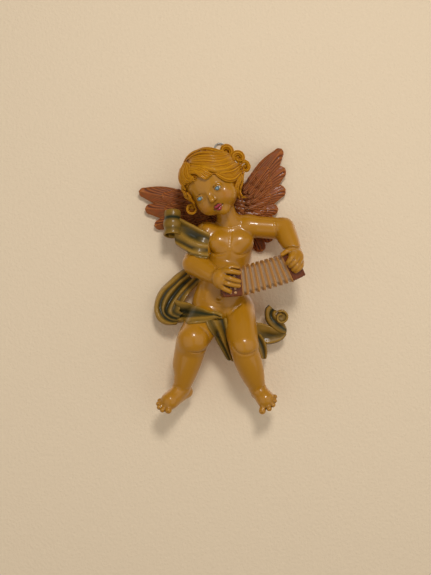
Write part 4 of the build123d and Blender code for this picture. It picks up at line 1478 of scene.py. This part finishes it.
# drapery, each curve a ridge or a valley with its paint, from ochre at 0 to dark green at 1
sashCurves = (
    (
        ((-26.4, 8, -94.1), (-33.3, 8, -99.1), (-38.6, 8.5, -104.1), (-43.5, 9, -108.7),
         (-46.5, 10, -113.2), (-48.3, 11, -118.2), (-49.0, 12, -123.1), (-48.6, 13, -127.6),
         (-46.8, 14, -131.8), (-43.9, 15, -134.6), (-40.0, 16, -136.3), (-35.8, 17, -136.5),
         (-32.0, 18.5, -135.7)),
        (0.3, 0.1, 0.15, 0.1, 0.0, 0.1, 0.3),
    ),
    (
        ((-25.1, 10, -95.3), (-31.6, 10, -100.5), (-36.9, 10.5, -105.2), (-41.6, 11.5, -109.6),
         (-44.6, 12.5, -114.2), (-46.4, 13.5, -118.5), (-47.1, 14.5, -123.0), (-46.7, 15.5, -127.2),
         (-44.7, 16.5, -130.9), (-41.8, 17.5, -133.3), (-38.4, 18.5, -134.8), (-34.9, 19.5, -135.1),
         (-31.5, 20.5, -134.7)),
        (0.2, 0.05, 0.0, 0.05, 0.0, 0.0),
    ),
    (
        ((-24.1, 8.5, -97.6), (-29.8, 8.5, -102.2), (-34.7, 9, -106.8), (-39.1, 10, -110.9),
         (-42.0, 11, -115.1), (-43.9, 12, -119.3), (-44.6, 13, -123.5), (-43.9, 14, -126.8),
         (-42.2, 15, -129.8), (-39.6, 16, -132.1), (-36.9, 17, -133.3), (-34.3, 18, -133.9),
         (-31.2, 19, -133.8)),
        (0.35, 0.3, 0.6, 0.85, 0.9, 0.9, 0.6),
    ),
    (
        ((-22.9, 9.8, -99.1), (-28.2, 9.8, -103.3), (-32.8, 10.3, -107.5), (-36.9, 11.3, -112.1),
         (-39.7, 12.3, -116.3), (-41.3, 13.3, -120.2), (-42.2, 14.3, -124.2), (-41.8, 15, -127.0),
         (-40.4, 16, -129.2), (-38.1, 17, -131.1), (-35.8, 18, -132.2), (-33.5, 19, -132.7),
         (-30.8, 20, -132.8)),
        (0.15, 0.1, 0.15, 0.25, 0.5, 0.8, 0.6),
    ),
    (
        ((-21.8, 7, -101.4), (-26.8, 7, -105.6), (-31.0, 7.5, -109.8), (-34.6, 8.5, -114.4),
         (-37.4, 9.8, -118.6), (-39.0, 11, -122.0), (-40.1, 12.4, -125.4), (-40.0, 13.4, -127.2),
         (-39.0, 14.4, -128.7), (-37.0, 15.4, -130.0), (-35.1, 16.4, -130.9), (-33.2, 17.4, -131.4),
         (-30.7, 18.4, -131.8)),
        (0.6, 1.0, 1.0, 1.0, 1.0, 0.9),
    ),
    (
        ((-19.4, 9.5, -101.4), (-24.0, 9.5, -106.0), (-28.2, 10, -110.6), (-31.8, 11, -115.1),
         (-34.4, 12.3, -118.9), (-36.2, 13.6, -122.3), (-37.1, 14.8, -125.3), (-37.0, 15.4, -127.0),
         (-36.2, 16, -128.1), (-35.1, 17, -129.0), (-33.5, 18, -129.7), (-31.9, 19, -130.3),
         (-30.0, 20, -130.6)),
        (0.1, 0.05, 0.1, 0.2, 0.5, 0.9),
    ),
    (
        ((-16.8, 8, -101.8), (-21.4, 8, -106.4), (-25.6, 8.5, -110.6), (-29.0, 9.6, -114.8),
         (-31.6, 11, -118.6), (-33.4, 12.6, -121.9), (-34.3, 13.8, -124.6), (-34.4, 14.6, -126.1),
         (-34.0, 15.4, -127.2), (-32.8, 16.4, -127.9), (-31.7, 17.4, -128.4), (-30.5, 18.4, -128.8),
         (-29.3, 19.4, -129.1)),
        (0.5, 0.3, 0.35, 0.5, 0.8, 0.9),
    ),
    (
        ((-14.5, 9, -102.0), (-18.9, 9, -106.8), (-23.1, 9.6, -111.1), (-25.9, 10.8, -115.1),
         (-27.4, 12, -118.2), (-29.2, 13.4, -121.6), (-30.7, 14.6, -124.2), (-31.4, 15.2, -125.5),
         (-31.2, 16, -126.2), (-30.4, 17, -126.7), (-29.6, 18, -127.2), (-28.8, 19, -127.5),
         (-27.8, 20, -127.8)),
        (0.1, 0.0, 0.05, 0.2, 0.4),
    ),
)
stripCurves = (
    (
        ((-33.9, 13.5, -119.0), (-29.9, 15.5, -120.4), (-24.4, 19.5, -121.2), (-19.1, 23.8, -122.2),
         (-13.8, 28, -123.9), (-8.6, 31.5, -125.9), (-3.8, 34, -127.5), (1.1, 35.4, -129.8)),
        (0.05, 0.0, 0.1),
    ),
    (
        ((-33.4, 13, -120.8), (-29.5, 15, -122.7), (-24.5, 18.6, -123.5), (-19.1, 23, -124.0),
         (-13.8, 27.4, -125.1), (-8.6, 31, -126.7), (-3.8, 33.6, -127.8), (1.1, 35, -130)),
        (0.3, 0.6, 0.7, 0.65, 0.5),
    ),
    (
        ((-33.1, 11.5, -123.5), (-29.9, 13.4, -126.2), (-24.5, 17, -126.4), (-19.1, 22, -126.0),
         (-13.8, 26.6, -126.7), (-8.6, 30.4, -127.7), (-3.8, 33.2, -128.2), (1.1, 34.6, -130.1)),
        (1.0, 1.0),
    ),
    (
        ((-35.3, 13, -125.7), (-31.4, 15.4, -128.1), (-26.0, 18.6, -128.5), (-19.8, 23, -127.9),
         (-13.8, 27.4, -128.1), (-8.6, 31, -128.4), (-3.8, 33.8, -128.5), (1.1, 35.2, -130.2)),
        (0.5, 0.8, 0.9, 0.7),
    ),
    (
        ((-38.3, 12.6, -128.4), (-33.7, 14.8, -130.0), (-27.9, 17.6, -129.9), (-20.6, 22, -129.2),
         (-13.8, 26.8, -128.9), (-8.6, 30.6, -129.0), (-3.8, 33.6, -128.8), (1.1, 34.8, -130.3)),
        (0.9, 1.0, 0.8, 0.5, 0.5),
    ),
    (
        ((-38.2, 15.4, -131.3), (-33.1, 18, -132.5), (-27.4, 20.6, -131.5), (-20.5, 24.4, -130.5),
         (-13.8, 28.4, -130.0), (-8.6, 31.8, -129.7), (-3.8, 34.4, -129.2), (1.1, 35.4, -130.5)),
        (0.1, 0.0),
    ),
    (
        ((-38.2, 14.4, -133.6), (-32.8, 16.6, -134.6), (-26.7, 19.2, -133.9), (-20.6, 23, -132.7),
         (-13.8, 27, -132.2), (-8.6, 30.4, -131.6), (-3.8, 33.4, -130.5), (1.4, 34.6, -131.2)),
        (0.3, 0.3),
    ),
)
lapCurves = (
    (
        ((-9.6, 33.4, -131.6), (-6.6, 32, -138.0), (-3.0, 30, -144.0), (-0.2, 27.6, -149.6),
         (3.2, 24.6, -155.6), (6.6, 21, -162.4)),
        (0.35, 0.5, 0.55, 0.5),
    ),
    (
        ((-7.4, 33.2, -131.6), (-4.7, 31.4, -137.4), (-1.7, 29.4, -143.4), (1.2, 27, -149.1),
         (4.4, 24, -155.1), (7.6, 20.8, -162.2)),
        0.75,
    ),
    (
        ((-3.6, 35.6, -132.2), (-1.4, 34, -138.0), (0.8, 31.8, -143.9), (3.0, 29.2, -149.3),
         (5.5, 26, -155.0), (8.6, 22, -162.6)),
        0.05,
    ),
    (
        ((-0.8, 34.2, -132.0), (0.9, 32.4, -137.9), (2.9, 30.2, -143.6), (4.7, 27.8, -149.0),
         (6.8, 24.8, -154.8), (9.6, 21.2, -163.0)),
        0.4,
    ),
    (
        ((1.2, 33.6, -131.4), (2.5, 31.8, -137.2), (4.1, 29.6, -142.8), (5.8, 27, -148.4),
         (7.9, 24, -154.2), (10.5, 20.6, -163.4)),
        0.9,
    ),
    (
        ((3.0, 35, -130.8), (3.9, 33.4, -136.4), (5.4, 31.2, -142.0), (7.1, 28.6, -147.7),
         (9.3, 25.6, -153.5), (11.7, 21.6, -163.6)),
        0.1,
    ),
)
scarfCurves = (
    (
        ((-33.8, 21.6, -57.6), (-28.1, 25.0, -60.6), (-21.7, 27.6, -64.0), (-14.9, 29.4, -67.8),
         (-7.6, 29.4, -71.2)),
        (0.3, 0.05, 0.0),
    ),
    (
        ((-33.6, 20.6, -61.6), (-27.9, 23.6, -63.4), (-22.4, 25.6, -66.5), (-14.9, 27.0, -70.8),
         (-7.9, 27.6, -73.6)),
        (0.35, 0.5, 0.85, 0.45),
    ),
    (
        ((-33.4, 22.0, -65.6), (-27.4, 24.4, -67.6), (-22.7, 25.8, -70.2), (-15.4, 26.8, -73.6),
         (-8.4, 27.8, -76.2)),
        (0.2, 0.5, 1.0, 0.7, 0.2),
    ),
    (
        ((-33.4, 22.4, -69.6), (-27.4, 26.0, -72.0), (-22.7, 28.6, -74.9), (-15.4, 29.8, -77.6),
         (-8.8, 29.2, -79.0)),
        (0.1, 0.15, 0.25, 0.1),
    ),
    (
        ((-33.4, 20.4, -73.0), (-27.6, 24.6, -76.0), (-22.0, 27.6, -79.0), (-15.4, 28.8, -81.2),
         (-9.0, 28.2, -81.8)),
        (0.5, 0.35, 0.25, 0.35),
    ),
    (
        ((-33.0, 21.0, -76.0), (-27.2, 26.2, -79.7), (-21.4, 29.4, -82.4), (-14.9, 30.6, -84.3),
         (-8.4, 29.4, -85.2)),
        (0.1, 0.0, 0.0),
    ),
    (
        ((-32.4, 18.6, -77.4), (-26.6, 23.6, -81.4), (-20.9, 27.2, -84.2), (-14.5, 28.6, -86.0),
         (-8.2, 27.6, -86.6)),
        0.5,
    ),
)
hipLobeCurves = (  # the small cloth end between the hip and the shin
    (((24.6, 17.6, -145.0), (27.6, 16.6, -150.0), (30.0, 15.4, -156.0), (32.0, 14.2, -161.6)), 0.1),
    (((26.6, 15.6, -143.6), (30.0, 15.2, -149.0), (32.2, 14.2, -155.0), (33.0, 13.4, -161.8)), 0.75),
    (((29.0, 16.6, -143.0), (32.6, 16.2, -148.4), (34.4, 15.0, -155.2), (34.2, 13.6, -161.6)), 0.15),
    (((31.0, 14.2, -144.0), (34.0, 13.8, -149.4), (35.2, 13.0, -155.6), (34.8, 12.2, -160.8)), 0.5),
)
scrollLower = (  # from behind the thigh out to the tip
    (
        ((20.4, 21.6, -134.4), (26.4, 16.6, -135.6), (32.4, 15.2, -136.8), (38.0, 15.6, -139.0),
         (43.4, 15.4, -141.0), (48.0, 14.4, -141.2)),
        0.05,
    ),
    (
        ((20.4, 21.2, -137.2), (26.8, 15.2, -138.8), (33.0, 14.4, -139.9), (38.6, 14.8, -141.6),
         (43.9, 14.8, -142.6), (48.4, 14.0, -141.8)),
        (0.0, 0.05, 0.1, 0.3, 0.6, 0.8),
    ),
    (
        ((20.4, 20.8, -140.4), (27.4, 14.2, -142.0), (33.8, 13.0, -143.2), (39.4, 13.2, -144.2),
         (44.6, 13.8, -144.2), (48.7, 13.6, -142.4)),
        (0.0, 0.05, 0.3, 0.7, 0.5, 0.6),
    ),
    (
        ((20.4, 20.4, -143.2), (28.0, 14.0, -145.4), (34.4, 12.9, -146.2), (40.0, 13.4, -146.4),
         (45.2, 13.6, -145.4), (49.0, 13.2, -142.9)),
        (0.05, 0.15, 0.5, 0.4, 0.3, 0.4),
    ),
    (
        ((20.4, 19.8, -146.4), (28.8, 14.4, -149.2), (35.2, 14.0, -149.8), (40.8, 14.0, -148.8),
         (45.8, 13.8, -146.8), (49.2, 12.8, -143.4)),
        0.05,
    ),
    (
        ((20.4, 18.6, -147.4), (29.2, 12.4, -150.4), (35.8, 12.2, -151.0), (41.6, 12.4, -149.9),
         (46.6, 12.2, -147.4), (49.6, 11.4, -143.8)),
        0.75,
    ),
)
scrollUpper = (  # from the tip back up to the left and over the top
    (
        ((48.8, 13.0, -143.2), (44.2, 14.4, -142.6), (39.0, 15.0, -139.4), (34.6, 15.0, -134.6),
         (33.2, 15.2, -129.6), (33.6, 15.4, -124.4), (36.2, 15.4, -121.4)),
        0.95,
    ),
    (
        ((49.0, 14.2, -142.6), (44.6, 16.0, -141.6), (39.6, 16.6, -138.2), (35.6, 16.6, -133.8),
         (34.4, 16.8, -129.4), (34.8, 17.0, -125.0), (37.0, 17.0, -122.4)),
        0.1,
    ),
    (
        ((49.2, 14.4, -141.6), (45.4, 16.6, -140.2), (40.8, 17.0, -136.8), (37.0, 17.0, -132.8),
         (35.9, 17.0, -129.2), (36.4, 17.0, -126.0), (38.2, 17.0, -123.6)),
        0.55,
    ),
    (
        ((49.4, 14.2, -140.4), (46.4, 16.4, -138.6), (42.2, 17.0, -135.2), (38.6, 16.2, -131.8),
         (37.6, 15.4, -128.9), (38.0, 15.4, -126.6), (39.6, 16.2, -124.9)),
        1.0,
    ),
    (
        ((49.4, 13.6, -139.2), (47.4, 16.6, -136.8), (43.8, 17.8, -133.6), (40.4, 17.6, -130.8),
         (39.2, 17.4, -128.4), (39.8, 17.4, -126.6), (41.4, 17.6, -125.6)),
        0.1,
    ),
)


def rollPart(centre, axis, side, radius, length, turns, thickness):  # cloth rolled up in a spiral
    along = 60
    angle = np.linspace(0, 2 * math.pi * turns, along)
    spiral = radius * (1 - 0.6 * np.clip(angle / angle[-1] - 0.55, 0, 1) / 0.45)
    up = np.cross(axis, side)
    ring = spiral[:, None] * (np.cos(angle)[:, None] * side + np.sin(angle)[:, None] * up)
    shares = np.linspace(-0.5, 0.5, 17)
    swell = 1 + 0.05 * np.cos(shares * 2 * math.pi) + 0.04 * np.cos(shares * 14)
    tracks = []
    for share, width in zip(shares, swell):
        middle = centre + axis * length * share
        tracks.append([tuple((middle + spot * width) * (1, -1, 1)) for spot in ring[::3]])
    bands = ((0.16, 1.1), (-0.3, 0.4))  # dark rings: place along the roll and strength
    paint = np.clip(0.1 + sum(dark * np.exp(-((shares - place) / 0.1) ** 2) for place, dark in bands), 0, 1)
    return drape(list(zip(tracks, paint)), thickness, along=60, across=2)


def plugPart(centre, axis, side, radius, length, paint):  # the end of a roll, its face a little dished
    profile = np.array(((1, -0.5), (1, 0.44), (0.9, 0.5), (0.5, 0.42), (0.02, 0.38))) * (radius, length)
    turn = np.linspace(0, 2 * math.pi, 41)[:-1]
    ring = np.cos(turn)[:, None, None] * side + np.sin(turn)[:, None, None] * np.cross(axis, side)
    spots = centre + ring * profile[None, :, :1] + axis * profile[None, :, 1:]
    # dark green, darkest on the plug's sides and lighter at the middle of its face: partly the cloth's green
    # and partly painted shade inside the roll
    tint = np.tile((1.0, 0.9, 0.6, 0.3, 0.2), (40, 1)).ravel() * paint
    marks = {"mark": tint, "washAndShade": tint * 0.5, "rim": 0 * tint}
    return spots.reshape(-1, 3), tubeFaces(40, len(profile)), marks


rollAxis = unit(np.array((0.0, 0.3, 1.0)))
towardsWall = unit(np.cross(np.cross(rollAxis, (0.6, 0.8, 0.0)), rollAxis))
rolls = {  # the spiral with its radius, length, turns and thickness, and the plug with its dark paint, partly painted shade inside the roll
    "scarf": {
        "centre": at(-34.8, 20.6, -61.8),
        "axis": rollAxis,
        "side": towardsWall,
        "spiral": (5.4, 17.6, 1.35, 1.1),
        "plugShift": -0.8,
        "plugSide": towardsWall,
        "plug": (3.6, 14.0, 0.9),
    },
    "scroll": {
        "centre": at(45.2, 16.6, -130.2),
        "axis": np.array((0.0, 1.0, 0.0)),
        "side": unit(np.array((-0.6, 0.0, 0.8))),
        "spiral": (4.9, 8.6, 1.2, 1.4),
        "plugShift": 1.0,
        "plugSide": np.array((1.0, 0.0, 0.0)),
        "plug": (3.9, 7.4, 0.6),
    },
}


def rolledEnd(roll):
    spiral = rollPart(roll["centre"], roll["axis"], roll["side"], *roll["spiral"])
    middle = roll["centre"] + roll["axis"] * roll["plugShift"]
    return [spiral, plugPart(middle, -roll["axis"], roll["plugSide"], *roll["plug"])]


drapery = (  # piece, node, its cloths with thickness and the limb they rest on, and its rolled end
    ("scarfFolds", "shoulder_scarf", ((scarfCurves, 2.2, "armRight"),), "scarf"),
    ("sashFolds", "sash_loop", ((sashCurves, 2.0, None), (stripCurves, 2.4, "legRight")), None),
    ("lapFolds", "lap_tail", ((lapCurves, 2.2, "legRight"),), None),
    (
        "scrollFolds",
        "hip_scroll",
        ((scrollLower, 2.0, None), (scrollUpper, 2.0, None), (hipLobeCurves, 2.0, None)),
        "scroll",
    ),
)
for name, node, cloths, rolled in drapery:
    parts = [drape(curves, thickness, over=limb) for curves, thickness, limb in cloths]
    parts += rolledEnd(rolls[rolled]) if rolled else []
    fit(gathered(name, parts), paints["drape"], "drape", "figure", node)
print("drapery hung")


# hanger, kept from the solids
steelLook = {
    "tone": (176, 174, 168),
    "dull": (112, 108, 100),
    "brushing": 900.0,
    "clouds": 260.0,
    "scratch": 0.35,
}


def steelMaterial():
    material, tree = newMaterial("zincPlatedSteel")
    places = objectPlaces(tree)
    drawn = addNode(tree, "ShaderNodeMapping", {"Vector": places, "Scale": (1.0, 1.0, 0.06)}).outputs[0]
    lines = noise(tree, drawn, steelLook["brushing"], 5.0)
    dulled = calc(tree, "MULTIPLY", noise(tree, places, steelLook["clouds"], 4.0), 0.8, clamp=True)
    feeds = {
        "Base Color": mixPaint(tree, dulled, linear(*steelLook["tone"]), linear(*steelLook["dull"])),
        "Roughness": calc(tree, "MULTIPLY_ADD", lines, 0.3, 0.22),
        "Metallic": 1.0,
        "Normal": bumps(tree, lines, steelLook["scratch"], 0.0001),
    }
    shader = addNode(tree, "ShaderNodeBsdfPrincipled", feeds)
    addNode(tree, "ShaderNodeOutputMaterial", {"Surface": shader.outputs[0]})
    return material


steel = steelMaterial()
for name in ("hanging_ring", "hanger_strap", "hanger_screw"):
    plated = bpy.data.objects[name]
    for slot in plated.material_slots:
        slot.material = steel
print("hanger brushed")


# wall, seen only from its front
wallLook = {"paint": (229, 207, 176), "reach": 1.6, "gap": 0.0002, "scale": 420.0, "bump": 0.7}
sheet = ((-1, -1), (1, -1), (1, 1), (-1, 1))
corners = [(x * wallLook["reach"], wallLook["gap"], z * wallLook["reach"]) for x, z in sheet]
wallMesh = bpy.data.meshes.new("wall")
wallMesh.from_pydata(corners, [], [(0, 1, 2, 3)])
wall = bpy.data.objects.new("wall", wallMesh)
bpy.context.scene.collection.objects.link(wall)
wallPaint, tree = newMaterial("paleWall")
plaster = noise(tree, objectPlaces(tree), wallLook["scale"], 6.0)
uneven = bumps(tree, plaster, wallLook["bump"], 0.0008)
feeds = {"Base Color": linear(*wallLook["paint"]), "Roughness": 0.9, "Normal": uneven}
matt = addNode(tree, "ShaderNodeBsdfPrincipled", feeds)
clear = addNode(tree, "ShaderNodeBsdfTransparent")
behind = addNode(tree, "ShaderNodeNewGeometry").outputs["Backfacing"]
shadow = addNode(tree, "ShaderNodeLightPath").outputs["Is Shadow Ray"]
share = calc(tree, "MAXIMUM", behind, shadow)
mixed = addNode(tree, "ShaderNodeMixShader", {0: share, 1: matt.outputs[0], 2: clear.outputs[0]})
addNode(tree, "ShaderNodeOutputMaterial", {"Surface": mixed.outputs[0]})
wallMesh.materials.append(wallPaint)

studio = {"tone": (226, 220, 210), "strength": 0.3}
world = bpy.data.worlds.new("studio")
bpy.context.scene.world = world
world.use_nodes = True
glow = world.node_tree.nodes["Background"].inputs
glow["Color"].default_value = linear(*studio["tone"])
glow["Strength"].default_value = studio["strength"]
print("wall and studio set")
